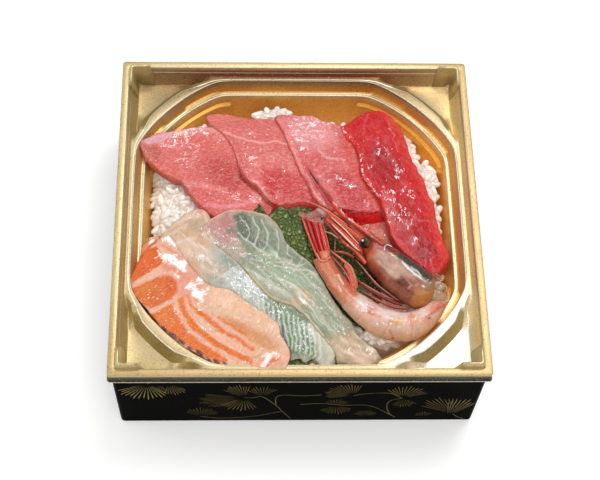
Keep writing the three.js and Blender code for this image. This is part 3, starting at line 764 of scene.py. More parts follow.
# A pale silver painted as glare on the slopes and ridge at the front right corner.
CORNER_PAINTED_GLARE = (0.80, 0.77, 0.70)
gold_film, tree, shader = new_material("gold_film", Metallic=0.6, Specular_IOR_Level=0.15)
mottle = use(tree, relief_group, Coarse=14.0, Fine=2.5, Fine_Share=0.25)["Height"]
film = attribute(tree, "tint", "Color")
darker = blend(tree, 1.0, film, (0.88, 0.83, 0.76, 1), "MULTIPLY")
specks = use(tree, fleck_group, Size=0.55, Amount=0.5)["Mask"]
dimples = use(tree, fleck_group, Size=0.8, Amount=0.52)["Mask"]
mottled = blend(tree, mottle, darker, film)
mottled = blend(tree, calc(tree, "MULTIPLY", dimples, 0.6), mottled,
    blend(tree, 1.0, film, (0.40, 0.34, 0.22, 1), "MULTIPLY"))
feed(tree, shader["Base Color"], blend(tree, calc(tree, "MULTIPLY", specks, 0.22), mottled,
    (1.0, 0.96, 0.82, 1)))
feed(tree, shader["Roughness"], spread(tree, mottle, -1.0, 3.0))
pits = use(tree, relief_group, Coarse=0.9, Fine=0.4, Fine_Share=0.8)["Height"]
bump = add(tree, "Bump", {"Height": pits, "Strength": 0.20, "Distance": 0.0001})
feed(tree, shader["Normal"], bump.outputs[0])
tray = make_piece("gold_tray", *joined(tray_parts), gold_film, "gold_film", ["tray"])
back_share = ease(0.55, 0.95, np.sin(angles))[:, None]
ring_tints = []
right_share = ease(0.3, 0.8, np.cos(angles))[:, None]
near_share = np.maximum(right_share, ease(0.3, 0.8, -np.sin(angles))[:, None])
lamp_share = 0.75 * ease(0.93, 0.99, np.cos(angles + math.pi / 4))[:, None]
first_ring = [sum(1 if part[2] == 0 else 3 for part in section[:k]) for k in range(len(section))]
sunk = np.clip((RIDGE_TOP - tray_rings[first_ring[SLOPE_FOOT] + 1][:, 2:]) / 1.5, 0, 1)
for k, film_name in enumerate(ring_films):
    plain = np.array(FILMS[film_name])
    tone = plain + back_share * (np.array(BACK_PAINTED_REFLECTION.get(film_name, plain)) - plain)
    if film_name == "rim":
        tone = tone * (1 + near_share * (np.array(NEAR_RIM_PAINTED_SHADE) - 1))
    if film_name == "wall":
        tone = tone * (1 + right_share * (RIGHT_WALL_PAINTED_LIGHT - 1))
    if film_name == "deep":
        tone = tone * (1 + right_share * (np.array(RIGHT_DEEP_PAINTED_LIGHT) - 1))
    if first_ring[SLOPE_FOOT - 1] <= k <= first_ring[SLOPE_TOP + 2]:
        tone = tone + lamp_share * (np.array(CORNER_PAINTED_GLARE) - tone)
    if first_ring[SLOPE_FOOT] + 1 <= k <= first_ring[SLOPE_TOP]:
        tone = tone + 0.9 * sunk * (np.array(SUNK_SLOPE_PAINTED_SHADE) - tone)
    ring_tints.append(tone)
ring_tints = np.vstack(ring_tints)
lug_points = len(tray.data.vertices) - len(ring_tints)
store(tray, "tint", np.vstack([ring_tints, np.tile(FILMS["gold"], (lug_points, 1))]))
print("tray placed")

# %% [markdown]
# ## The black box
# The box keeps its own solid, with a glossy black that shows a trace of dust. Its print, a
# traditional pattern of pine branches, is a film of dim gold laid on the four sides: fans
# of needles at the ends of winding twigs. A fan is a ring of thin wedges, so it is drawn by
# a loop, and the four sides share one layout.

# %% Print the pine branches
BOX_TOP_HALF, BOX_BASE_HALF, BOX_TOP = 81.3, 80.5, 53.9
PRINT_LIFT = 0.06
PRINT_LOW, PRINT_HIGH, PRINT_HALF = 1.0, 53.4, 80
# Fans on a side: place across and height, reach, middle direction, spread, needles, brightness.
FANS = [
    (-66, 44, 18, 254, 104, 21, 1.0), (-57, 43, 12, 292, 64, 13, 0.7), (-61, 43, 10, 276, 44, 9, 0.5),
    (-24, 28, 21, 194, 56, 17, 0.35), (-24, 28, 15, 108, 56, 15, 0.55), (-24, 28, 16, 256, 76, 16, 0.55),
    (-16, 29, 12, 92, 78, 14, 0.45), (24, 30, 14, 133, 116, 24, 0.55), (17, 19, 7, 96, 130, 15, 0.45),
    (17, 19, 11, 275, 104, 17, 0.4), (31, 5, 8, 92, 104, 15, 0.4), (46, 27, 14, 78, 98, 19, 0.6),
    (46, 27, 11, 282, 70, 14, 0.4), (71, 8, 22, 122, 50, 15, 0.5), (69, 5, 22, 74, 44, 13, 0.8),
    (58, 5, 6, 104, 110, 13, 0.4), (-44, 6, 11, 84, 110, 17, 0.35),
]
TWIGS = [
    "-24 28, -20 28, -16 29, -10 19, -7 12, -3 3", "-10 19, -10 28, -7 31, 2 30, 10 31",
    "24 30, 29 32, 36 33, 41 32, 46 27", "1 20, 10 21, 20 19, 30 19, 36 15, 45 4",
    "46 27, 41 24, 40 17, 42 9, 45 4", "-66 44, -61 48, -50 51",
    "71 8, 74 4, 77 2", "-44 6, -34 4, -20 6, -7 12",
]
NEEDLE_STARTS, NEEDLE_SHARE, NEEDLES_KEPT = 0.22, 0.12, 0.72
TWIG_HALF, TWIG_BRIGHT = 0.22, 0.45


def on_side(across, height, turn):
    """A place on one of the box's leaning sides, just clear of it."""
    out = BOX_BASE_HALF + (BOX_TOP_HALF - BOX_BASE_HALF) * height / BOX_TOP + PRINT_LIFT
    x, y = across, -out
    cosine, sine = math.cos(turn), math.sin(turn)
    return x * cosine - y * sine, x * sine + y * cosine, height


def print_side(turn):
    """Points, faces and brightness of one side's print."""
    points, faces, glow = [], [], []

    def patch(places, bright):
        if all(PRINT_LOW < z < PRINT_HIGH and abs(x) < PRINT_HALF for x, z in places):
            faces.append(tuple(range(len(points), len(points) + len(places))))
            points.extend(on_side(x, z, turn) for x, z in places)
            glow.extend([bright] * len(places))

    for x, z, reach, middle, wide, count, bright in FANS:
        needles = int(NEEDLES_KEPT * count)
        gap = math.radians(wide) / (needles - 1)
        for n in range(needles):
            share = n / (needles - 1)
            angle = math.radians(middle + wide * (share - 0.5))
            tip = reach * (0.84 + 0.16 * math.sin(math.pi * share)) * (1 - 0.05 * (n % 3))
            way, side = (math.cos(angle), math.sin(angle)), (-math.sin(angle), math.cos(angle))
            ends = [(NEEDLE_STARTS, 0.3), (0.9, 1.0), (1.0, 0.55)]
            half = gap * NEEDLE_SHARE * tip
            left, right = (
                [(x + way[0] * tip * t + sign * side[0] * half * w * t,
                  z + way[1] * tip * t + sign * side[1] * half * w * t) for t, w in ends]
                for sign in (1, -1))
            patch(left + right[::-1], bright)
    for twig in TWIGS:
        line = smooth_line(twig, 24)
        ways = np.gradient(line, axis=0)
        sides = TWIG_HALF * np.stack([-ways[:, 1], ways[:, 0]], 1) / np.linalg.norm(ways, axis=1)[:, None]
        for (a, b), (s, t) in zip(zip(line[:-1], line[1:]), zip(sides[:-1], sides[1:])):
            patch([a + s, b + t, b - t, a - s], TWIG_BRIGHT)
    return np.array(points), faces, glow


dim_gold, tree, shader = new_material("dim_gold_print", Roughness=0.5, Specular_IOR_Level=0.1, IOR=1.03)
worn = use(tree, relief_group, Coarse=9.0, Fine=1.5, Fine_Share=0.5)["Height"]
bright = calc(tree, "MULTIPLY", attribute(tree, "bright"), spread(tree, worn, 0.1, 0.9))
feed(tree, shader["Base Color"], blend(tree, bright, (0.008, 0.006, 0.002, 1), (0.34, 0.27, 0.10, 1)))
sides = [print_side(quarter * math.pi / 2) for quarter in range(4)]
pine = make_piece("pine_print", *joined([side[:2] for side in sides]), dim_gold, "black_board")
store(pine, "bright", np.concatenate([side[2] for side in sides]))
print("print faces:", len(pine.data.polygons))

# %% Finish the box
black_gloss, tree, shader = new_material("black_gloss", IOR=1.03)
dust = use(tree, fleck_group, Size=0.7, Amount=0.42)["Mask"]
feed(tree, shader["Base Color"], blend(tree, dust, (0.0012, 0.0010, 0.0008, 1), (0.004, 0.0035, 0.003, 1)))
feed(tree, shader["Roughness"], spread(tree, use(tree, relief_group, Coarse=12.0)["Height"], -0.6, 4.0))
box_materials = nodes["box"].data.materials
if len(box_materials):
    nodes["box"].material_slots[0].material = black_gloss
else:
    box_materials.append(black_gloss)
print("box finished")

# %% [markdown]
# ## Wet flesh
# Raw fish is soft, a little see-through and wet. One recipe serves every slice: the painted
# tint and fine wavy lines of muscle give the colour, light goes a little way into the
# flesh, and a thin clear coat lies over fine relief. Where a slice is marked as wet, thin
# white glints are painted into the colour as highlights, like those of cut fish under a
# broad lamp.

# %% Mix the flesh materials


def flesh(name, angle, grain=(1.1, 2.5), grain_strength=0.10, glint=(1.3, 1.8), relief=0.4, worms=0.13,
          light_reach=1.0, coat=(0.12, 0.55), glint_colour=(1.0, 0.95, 0.95, 1), roughness=0.42, alpha=1.0):
    """A wet raw flesh. angle turns the muscle lines, in degrees from the x axis."""
    material, tree, shader = new_material(
        name, Subsurface_Weight=0.14, Subsurface_Radius=(1.0, 0.45, 0.3), Subsurface_Scale=light_reach * MM,
        Specular_IOR_Level=0.22, Coat_IOR=1.4, Coat_Roughness=0.07, Roughness=roughness, Alpha=alpha)
    tint = attribute(tree, "tint", "Color")
    wet = attribute(tree, "gloss_and_painted_glints")
    turn = math.radians(-angle)
    lines = use(tree, fibre_group, Size=grain[0], Stretch=grain[1], Angle=turn)["Value"]
    shade = calc(tree, "MULTIPLY", calc(tree, "SUBTRACT", lines, 0.5), grain_strength * 4)
    shaded = add(tree, "HueSaturation", {"Color": tint, "Value": calc(tree, "ADD", 1.0, shade)}).outputs[0]
    # The marked value sets the real coat, and also where white glints are painted into the colour as
    # highlights.
    glints = use(tree, glint_group, Size=glint[0], Stretch=glint[1], Angle=turn + 0.6, Wet=wet)
    moist = calc(tree, "MULTIPLY", glints["Lines"], spread(tree, wet, -0.12, 0.1))
    grained = blend(tree, calc(tree, "MULTIPLY", moist, worms), shaded, glint_colour)
    feed(tree, shader["Base Color"], blend(tree, calc(tree, "MULTIPLY", glints["Mask"], 0.95), grained,
        glint_colour))
    feed(tree, shader["Coat Weight"], spread(tree, wet, -coat[0], (1 - coat[0]) / coat[1]))
    uneven = use(tree, relief_group, Coarse=2.4, Fine=0.9, Fine_Share=0.6)["Height"]
    height = calc(tree, "ADD", uneven, calc(tree, "MULTIPLY", lines, 0.8))
    bump = add(tree, "Bump", {"Height": height, "Strength": relief, "Distance": 0.0009})
    feed(tree, shader["Normal"], bump.outputs[0])
    return material


pink_flesh = flesh("tuna_flesh", 40, worms=0.14)
red_flesh = flesh("red_tuna_flesh", -50, grain=(1.3, 3.0), grain_strength=0.12, glint=(1.5, 2.2),
    relief=0.5, worms=0.05, glint_colour=(1.0, 0.86, 0.90, 1))
orange_flesh = flesh("salmon_flesh", 60, grain=(0.8, 3.0), grain_strength=0.14, glint=(1.0, 2.4),
    worms=0.09, glint_colour=(1.0, 0.93, 0.86, 1))
pale_flesh = flesh("white_fish_flesh", -50, grain=(0.9, 6.0), glint=(1.0, 2.4), light_reach=2.0, worms=0.10,
                   grain_strength=0.09, relief=0.3, glint_colour=(0.92, 0.95, 0.94, 1))
print("flesh materials:", [m.name for m in bpy.data.materials if "flesh" in m.name])

# %% [markdown]
# A slice is a sheet with four traced edges. Each edge is a line of points in the picture,
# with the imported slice's height at each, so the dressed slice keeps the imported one's
# place. A patch is spanned between the four edges, as a tent is between its poles, and
# it gets a small round at its rim, a side as deep as the slice is thick, and an
# underside. Soft lumps stir its face, and its outline is worried a little by noise.

# %% Helpers for slices
ROW_EVERY, RIM_STEPS = 0.5, (0.0, 0.2, 0.45)
RIM_ROUND = 0.8


def even_line(points, shares):
    """A smooth line through the points, read at these shares of its length."""
    fine = smooth_line(points, 12 * len(points))
    lengths = np.hypot(*np.diff(fine[:, :2], axis=0).T)
    along = np.concatenate([[0], np.cumsum(lengths)]) / lengths.sum()
    return np.stack([np.interp(shares, along, fine[:, i]) for i in range(3)], 1)


def rim_shares(length):
    """Shares of a length that lie close together at both ends and evenly between."""
    near = np.array(RIM_STEPS) / length
    inner = np.linspace(0.9 / length, 1 - 0.9 / length, max(int(length / ROW_EVERY), 6))
    return np.concatenate([near, inner, 1 - near[::-1]])


def reach_of(line):
    """Roughly how long a traced edge is, in mm."""
    places = at_height(np.array(line, float)[:, :2], [height for _, _, height in line])
    return np.linalg.norm(np.diff(places, axis=0), axis=1).sum()


def span(left, right, start, end):
    """Places and heights of a patch between four edges, and each point's distance to the rim."""
    rows = rim_shares((reach_of(left) + reach_of(right)) / 2)
    columns = rim_shares((reach_of(start) + reach_of(end)) / 2 + 0.3 * min(reach_of(left), 30))
    low, high = even_line(left, rows)[:, None], even_line(right, rows)[:, None]
    first, last = even_line(start, columns)[None], even_line(end, columns)[None]
    u, v = rows[:, None, None], columns[None, :, None]
    sheet = (1 - v) * low + v * high + (1 - u) * first + u * last
    sheet = sheet - (1 - u) * ((1 - v) * first[:, :1] + v * first[:, -1:])
    return sheet - u * ((1 - v) * last[:, :1] + v * last[:, -1:])


def slab(name, node, material, slot, thick, left, right, start, end, bow=0.6, stir=(0.6, 0.25),
         ragged=0.5, lean=(0, 0), levels=4, taper=0.0):
    """A slice of fish between four traced edges of (x, y, height), standing for a packed one."""
    sheet = span(*(traced(edge) for edge in (left, right, start, end)))
    tall, wide = sheet.shape[:2]
    flat = sheet.reshape(-1, 3)
    top = at_height(flat[:, :2], flat[:, 2]).reshape(tall, wide, 3)
    rim = np.concatenate([top[0], top[1:, -1], top[-1, -2::-1], top[-2:0:-1, 0]])
    away = distance_to_line(top.reshape(-1, 3)[:, :2], np.vstack([rim, rim[:1]])[:, :2]).reshape(tall, wide)
    rim_round = min(RIM_ROUND, 0.4 * thick)
    inward = np.clip(1 - away / rim_round, 0, 1)
    top[..., 2] -= rim_round * 0.9 * (1 - np.sqrt(np.clip(1 - inward**2, 0, 1)))
    top[..., 2] += bow * ease(0, 9, away)
    towards_end = np.linspace(0, 1, tall)[:, None] ** 4
    under = top.copy()
    under[..., 2] = sheet[..., 2] - thick * (1 - taper * towards_end)
    middle = top.reshape(-1, 3).mean(0)
    shift = np.array([lean[0], lean[1], 0.0])

    def loop(grid):
        return np.concatenate([grid[0], grid[1:, -1], grid[-1, -2::-1], grid[-2:0:-1, 0]])

    upper, lower = loop(top), loop(under)
    leaning = loop(np.repeat(towards_end[..., None], wide, 1))
    walls = []
    for step in range(1, levels):
        share = step / levels
        ring = upper + share * (lower - upper) + share * leaning * shift
        ring[:, :2] += (ring[:, :2] - middle[:2]) * 0.012 * math.sin(math.pi * share)
        walls.append(ring)
    under = under + towards_end[..., None] * shift
    count = tall * wide
    around = len(upper)
    index = np.arange(count).reshape(tall, wide)
    faces = [f[::-1] for f in row_faces(tall, wide, closed=False)]
    faces += [tuple(i + count for i in f) for f in row_faces(tall, wide, closed=False)]
    rings = [loop(index[..., None])[:, 0]]
    rings += [2 * count + step * around + np.arange(around) for step in range(levels - 1)]
    rings.append(rings[0] + count)
    for above, below in zip(rings[:-1], rings[1:]):
        for i in range(around):
            j = (i + 1) % around
            faces.append((above[i], above[j], below[j], below[i]))
    points = np.vstack([top.reshape(-1, 3), under.reshape(-1, 3)] + walls)
    for axis in (0, 1):
        points[:, axis] += ragged * (cloud(points, 2.8, 11 + axis) - 0.5)
        points[:, axis] += 0.5 * ragged * (cloud(points, 1.1, 13 + axis) - 0.5)
    face_up = np.arange(len(points)) < count
    lump = stir[0] * (cloud(points, 9.0, 3) - 0.5) + stir[1] * (cloud(points, 2.6, 4) - 0.5)
    points[:, 2] += np.where(face_up, lump, 0.3 * lump)
    return make_piece(name, points, [tuple(int(i) for i in f) for f in faces], material, slot,
                      [node] if node else [])


def soft_copy(node, name, material, face=0.6, rounds=6, stir=(0.35, 0.14)):
    """A fine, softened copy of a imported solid, which stands for it."""
    rough = bpy.data.objects.new(name, nodes[node].data.copy())
    bpy.context.scene.collection.objects.link(rough)
    remesh = rough.modifiers.new("even faces", "REMESH")
    remesh.mode, remesh.voxel_size = "VOXEL", face * MM
    soften = rough.modifiers.new("soften", "SMOOTH")
    soften.factor, soften.iterations = 0.5, rounds
    made = bpy.data.meshes.new_from_object(rough.evaluated_get(bpy.context.evaluated_depsgraph_get()))
    bpy.data.objects.remove(rough)
    made.materials.clear()
    made.materials.append(material)
    made.shade_smooth()
    piece = bpy.data.objects.new(name, made)
    bpy.context.scene.collection.objects.link(piece)
    points = where_points(piece)
    amount = stir[0] * (cloud(points, 8.0, 3) - 0.5) + stir[1] * (cloud(points, 2.2, 4) - 0.5)
    move_points(piece, points + point_normals(piece) * amount[:, None])
    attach(piece, "root")
    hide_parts(node)
    return piece


def press(piece, cuts):
    """Presses cuts, (mask, depth in mm) each, down into a piece's upper side."""
    points = where_points(piece)
    places = painted_places(piece, 0.5)
    upper = ease(0.1, 0.5, point_normals(piece)[:, 2])
    for mask, depth in cuts:
        points[:, 2] -= depth * mask(places) * upper
    move_points(piece, points)


print("slices get rows every", ROW_EVERY, "mm")

# %% [markdown]
# ## The tuna
# The three pink slices come from the belly: pale, with fat in seams and a fine grain. They
# lie like shingles, each over the edge of the one before. The cut faces at the lower ends
# of the second and third are deep red.

# %% Slice the pink tuna
PINK, FAT_PINK, CUT_RED = "#d6645d", "#e89a94", "#d8080a"

tuna_1 = slab("tuna_slice_1", "tuna_1", pink_flesh, "tuna_pink", 5.0,
    left="140 147 48.4, 146 158 47.4, 158 169 46.6, 170 177 46.2, 181 180.5 46, 184 185.5 45.4, "
    "189 191.5 45.2, 196 201 45, 206 210 45, 216 217 45, 238 218 45, 262 216 45",
    right="141 140.5 49, 156 133 48.6, 172 130.8 48.2, 190 127.6 47.8, 208 126.3 47.6, 224 129 48.4, "
    "236 141 48.8, 246 158 48.8, 254 171 48, 266 190 46.8, 274 207 46",
    start="140 147 48.4, 139.4 144 48.6, 141 140.5 49", end="262 216 45, 269 215 45.2, 274 207 46")
press(tuna_1, [(stroke("186 184, 205 187, 228 191, 247 199", 2.5, 1.5), 0.4),
    (stroke("237 166, 243 176, 252 184, 261 191", 5, 3), 0.9)])
# Painted shadows: a dark red area under the second slice's edge, and a darker lower end in that slice's
# shade.
paint(tuna_1, PINK, [(spot(150, 154, 12, 9, 20), "#ba5e50", 0.8),
    (stroke("147 160, 158 168, 170 175, 180 178", 6, 3), "#d8644e", 0.85),
    (spot(226, 174, 24, 15, 25), "#c03e38", 0.85),
    (stroke("178 133, 190 130, 206 129, 220 131, 228 137", 5, 2.5), FAT_PINK, 0.85),
    (area("141 141, 150 136, 165 132, 182 129, 180 133, 168 138, 158 142.5, 147 144", 1.5), "#da9ea8", 0.9),
    (area("186 184, 205 189, 228 192, 250 200, 255 207, 230 210, 205 206", 3), "#d65e58", 0.8),
    (stroke("184 182, 196 184, 210 187, 226 190", 3.4, 2.8), "#eca098", 0.65),
    (stroke("207 204.5, 222 206.5, 240 205, 254 201", 3.5, 2), "#e8969c", 0.8),
    (stroke("206 209, 214 213, 226 212", 3, 2), "#ce4e4a", 0.6), (area("240 169, 248 179, 258 187, "
    "263 196, 256 190, 245 184, 237 177", 3), "#a0221e", 0.85),
    (area("258 200, 265 197, 276 205, 276 217, 262 217", 2), "#c4504a", 0.8),
    (stroke("213 137, 222 137, 231 140", 3, 1.5), FAT_PINK, 0.5)], side="#c4544a")
mark(tuna_1, "gloss_and_painted_glints", [(spot(178, 142, 14, 7, -10), 0.85), (spot(186, 151, 14, 8, 10), 0.6),
    (spot(175, 161, 20, 5, 10), 0.6), (spot(215, 143, 16, 6, 10), 0.5), (spot(222, 197, 12, 5), 0.75),
    (spot(238, 197, 6, 7), 0.7), (spot(254, 198, 8, 5), 1.0), (spot(193, 130, 12, 4), 0.9),
    (spot(205, 133, 6, 3, 40), 1.0), (spot(238, 156, 5, 8), 0.6)], base=0.18)

tuna_2 = slab("tuna_slice_2", "tuna_2", pink_flesh, "tuna_pink", 6.6,
    left="207 119.5 48, 211 124.5 48.8, 220 130.5 49.5, 228 139 50, 234 149 50.3, 236.5 157 50.5, "
    "238 163 50.6, 242 171 50.6, 250 180.5 50.5, 258 186 50.3, 264 194 49.8, 271 201 49",
    right="284 122 47.2, 291 134 48, 296 145 48.8, 301 156 49.2, 306 168 49.2, 311 180 48.8, 316 192 48, "
    "321 208.5 47", start="207 119.5 48, 206.5 116.5 48, 210 114.3 48, 220 113.6 48, 230 114.6 47.8, "
    "240 116.9 47.6, 252 118.2 47.4, 268 118.6 47.2, 284 122 47.2", end="271 201 49, 277 204.5 48.8, "
    "284 204 48.6, 296 202.8 48.2, 306 203 47.8, 314 205.5 47.4, 321 208.5 47", lean=(0.4, -3.4),
    ragged=0.6)
press(tuna_2, [(stroke("236 152, 250 152, 262 153, 275 152, 284 158", 2.5, 1.5), 0.35)])
# Painted light and shade: a pale highlight along the left edge, and a dark lower left corner in the shade
# beside the first slice.
paint(tuna_2, "#d76660", [(area("262 168, 285 170, 303 176, 311 195, 316 204, 296 201, 276 202, 266 194",
    5), "#c42422", 0.9), (stroke("224 132, 232 135, 243 139, 255 142, 265 142.5, 275 141, 289 145", 1.6,
    1.0), "#eea8a2", 0.85), (stroke("236 150, 250 151, 262 152.5, 275 151, 284 157", 1.4, 0.9), "#c44844",
    0.6), (stroke("262 154.5, 275 153.5, 284 159, 290 164", 1.2, 0.8), "#ec9e96", 0.6),
    (spot(240, 165, 6, 8, -20), "#c84642", 0.6), (stroke("207 119, 212 126, 221 132, 229 141, 235 151, "
    "238 163, 243 173, 251 182, 259 188, 266 196, 272 202", 1.4, 0.9), "#ee968a", 0.7),
    (stroke("254 181, 262 189, 268 197", 2, 1.2), "#ec9c90", 0.6), (spot(222, 117, 14, 4), "#e0746c", 0.7),
    (stroke("240 116.5, 252 118.5, 262 119", 2, 1), "#e28292", 0.6),
    (area("272 203.5, 284 205, 296 203.8, 306 204, 314 206.5, 322 209.5, 314 216, 274 218", 1), CUT_RED,
    0.97), (area("268 201, 272 203, 280 206, 277 216, 268 216", 1.5), "#a82c28", 0.8)], side="#ce544a")
mark(tuna_2, "gloss_and_painted_glints", [(spot(252, 134, 12, 4, 8), 0.8), (spot(250, 147, 8, 3), 0.6),
    (spot(248, 157, 8, 4, 5), 0.7), (spot(285, 169, 10, 2.5), 0.7), (spot(277, 196, 6, 4, 20), 0.8),
    (spot(270, 133, 16, 6), 0.3), (area("272 204.5, 284 206, 296 204.8, 314 207.5, 322 210, 314 218, "
    "274 219", 1), -0.12)], base=0.14)

tuna_3 = slab("tuna_slice_3", "tuna_3", pink_flesh, "tuna_pink", 7.0,
    left="276 120 49, 281 127 49.8, 285 136 50.4, 289 146 50.8, 294 157 51, 298 168 51.2, 304 177 51.2, "
    "309 184 51.2, 313 195 51, 320 204 50.4, 330 211 49.6", right="347 126 47, 354 140 47.8, 361 154 48.4, "
    "366 169 48.6, 373 184 48.4, 381 198 47.6, 388 211 46.8", start="276 120 49, 275 116.5 49, "
    "278 114.3 49, 290 114.4 48.8, 302 115.2 48.4, 313 115.8 48, 321 120 47.8, 332 122.5 47.4, 347 126 47",
    end="330 211 49.6, 342 208.5 49.2, 354 210 48.6, 368 211.5 47.8, 388 211 46.8", lean=(0.8, -6.0),
    ragged=0.6)
press(tuna_3, [(stroke("307 167, 316 180, 324 191, 332 201", 2.0, 1.2), 0.5)])
# The dark red line at the lower end, from 328 196 to 342 210, is the beak's painted shadow.
paint(tuna_3, "#d35c5a", [(spot(311, 130, 26, 18, 20), "#e89898", 0.8),
    (area("325 172, 350 172, 366 192, 380 208, 360 210, 344 207", 5), "#be1c1e", 0.95),
    (stroke("279 120, 286 132, 291 143, 297 158, 303 172", 4, 2), "#e6867c", 0.8),
    (stroke("304 178, 311 187, 317 197, 328 206", 3, 1.5), "#e4847c", 0.7),
    (stroke("319 151, 326 157, 335 158, 345 160", 2, 1.2), "#eca8a8", 0.7),
    (stroke("343 137, 348 150, 353 165, 360 180, 370 195, 380 207", 7, 3), "#ce4a3e", 0.85),
    (stroke("333 150, 343 165, 356 184", 3, 2), "#d6625c", 0.5), (area("338 209, 354 211, 368 212, "
    "384 211, 390 226, 350 226, 334 214", 1), CUT_RED, 0.97), (stroke("328 196, 334 204, 342 210", 3, 1.5),
    "#be3224", 0.7)], side="#d2584e")
mark(tuna_3, "gloss_and_painted_glints", [(spot(311, 126, 24, 13, 15), 1.0), (spot(300, 137, 14, 6), 0.95),
    (spot(305, 151, 6, 5), 0.9), (spot(332, 131, 9, 6, 40), 0.6), (spot(338, 177, 4, 4), 1.0),
    (spot(347, 184, 9, 3, 25), 1.0), (spot(329, 181, 4, 2), 0.9), (spot(367, 204, 4, 3, 40), 0.9),
    (spot(330, 158, 16, 8), 0.4), (stroke("308 186, 318 196, 324 203", 3, 1.5), 0.6),
    (area("338 210, 354 212, 368 213, 386 212, 392 228, 350 228, 334 215", 1), -0.12)], base=0.12)

tuna_pale = soft_copy("tuna_pale", "tuna_pale_piece", pink_flesh)
paint(tuna_pale, "#ce6852", [(spot(385, 232, 14, 8, 40), "#de806c", 0.7),
    (spot(374, 225, 8, 4, 10), "#be4a3c", 0.7)])
mark(tuna_pale, "gloss_and_painted_glints", [], base=0.3)
print("points on the pink slices:", [len(p.data.vertices) for p in (tuna_1, tuna_2, tuna_3, tuna_pale)])

# %% [markdown]
# The red slice is lean back meat. Its colour is deeper, its wet top breaks the light into
# many small glints, its left side leans out into view, and two thin pale seams cross its
# upper end.

# %% Slice the red tuna
RED, DARK_RED = "#c81c21", "#a20c18"
tuna_red = slab("tuna_red_slice", "tuna_red", red_flesh, "tuna_red", 6.4,
    left="341 126.5 49, 347 137 49.8, 355 146 50.6, 359 158 51.2, 361 173 51.6, 369 185 51.6, "
    "378 196 51.4, 383 208 51.2, 388 222 50.6, 392 236 49.8, 401 249 48.8, 415 262 47.8, 428 272 47",
    right="390 115.5 46.8, 399 126 46.4, 405 138 46.2, 410 153 46, 417 168 46, 424 180 46, 429 194 46, "
    "434.5 205 46, 436 217 45.9, 441 233 45.8, 447 249 45.7, 449 258 45.6, 445 267 45.6",
    start="341 126.5 49, 350 120.3 48.6, 361 114 48, 371 110.6 47.4, 382 111.4 47, 390 115.5 46.8",
    end="428 272 47, 434 274.5 46.6, 440 271.5 46, 445 267 45.6", stir=(1.2, 0.5), ragged=0.7, bow=1.2)
press(tuna_red, [(stroke("352 136, 364 150, 368 168, 378 184", 5, 3), 0.5),
    (spot(388, 170, 9, 16, -20), 0.6), (spot(404, 205, 8, 12, -20), 0.5)])
paint(tuna_red, RED, [(spot(365, 122, 20, 9, -10), "#c81e22", 0.7),
    (spot(385, 165, 14, 22, -25), DARK_RED, 0.75), (spot(410, 228, 16, 26, -30), DARK_RED, 0.6),
    (spot(424, 250, 12, 10, 30), "#940814", 0.85), (stroke("368 114, 364 124, 361 136", 1.2, 0.8),
    "#e25c58", 0.6), (stroke("389 122, 393 135, 398 150", 1.2, 0.8), "#ec787c", 0.7),
    (stroke("388 116, 399 130, 405 146, 411 160, 420 176, 425 190, 431 205, 433 218, 441 240, 446 256", 9,
    4), "#d83a34", 0.85), (stroke("343 130, 349 142, 353 156, 357 170, 365 184, 375 196, 379 207", 6, 2.5),
    "#d63a2c", 0.8), (stroke("384 212, 390 228, 400 243, 414 256", 4, 2.5), "#d84e4a", 0.6),
    (stroke("410 213, 418 219, 430 222", 1.2, 0.8), "#e46e64", 0.6),
    (stroke("411 243, 424 250, 438 256", 1.2, 0.8), "#d85056", 0.5)], side="#ce3228", wobble=2.0)
mark(tuna_red, "gloss_and_painted_glints", [(stroke("343 128, 347 137, 356 144, 361 152, 362 170, 366 180, 378 194", 5, 2.5),
    1.0), (spot(383, 150, 11, 6, 10), 0.85), (spot(399, 170, 6, 11, -10), 0.95),
    (spot(388, 193, 10, 6, 30), 0.95), (spot(410, 193, 10, 6, 30), 0.9), (spot(398, 213, 16, 12, 30), 0.8),
    (spot(402, 224, 8, 6), 0.7), (spot(414, 241, 5, 6, -40), 1.0), (spot(428, 262, 14, 5, 35), 0.45),
    (spot(368, 167, 6, 4), 0.6), (spot(385, 125, 10, 7), 0.4), (spot(419, 212, 6, 8), 0.5)], base=0.16)
print("points on the red slice:", len(tuna_red.data.vertices))

# %% [markdown]
# ## The salmon
# The front slice is cut across the belly. Its left side shows three orange blocks of muscle
# between thick pale seams. The seams then bend along the slice, so that thin orange
# bands alternate with pale fat, and the right side is nearly all pale fat.

# %% Slice the salmon
ORANGE, SEAM, BELLY = "#e26e10", "#e7a890", "#e4b89a"
# The second colour is the white of the painted reflections.
DEEP_ORANGE, PAINTED_REFLECTION = "#d8681e", "#fffcfc"
salmon_1 = slab("salmon_slice_1", "salmon_1", orange_flesh, "salmon", 4.6,
    left="157 240 47.8, 149 247 48, 142 254 48.4, 137 263 48.8, 132.5 273 49.2, 130.5 284 49.4, "
    "136 297 49.5, 143 304.5 49.5, 150 312 49.5, 158 322.5 49.5, 167 332 49.5, 175 340 49.5, 183 346 49.5, "
    "196 353 49.5, 210 361 49.5, 226 368 49.5, 248 372 49.5", right="170 234.5 48.4, 177 245 49.2, "
    "185 257 50.2, 193 269 50.8, 202 278.5 51.2, 212 285.5 51.4, 230 289.5 51.6, 247 301 51.6, "
    "263 311.5 51.6, 277 321 51.6, 280 329 51.6, 283 338 51.4, 290 350.5 51, 289 361 50.6, 285 370 50.2",
    start="157 240 47.8, 163 236 48, 170 234.5 48.4", end="248 372 49.5, 266 373 49.8, 285 370 50.2",
    ragged=0.6)
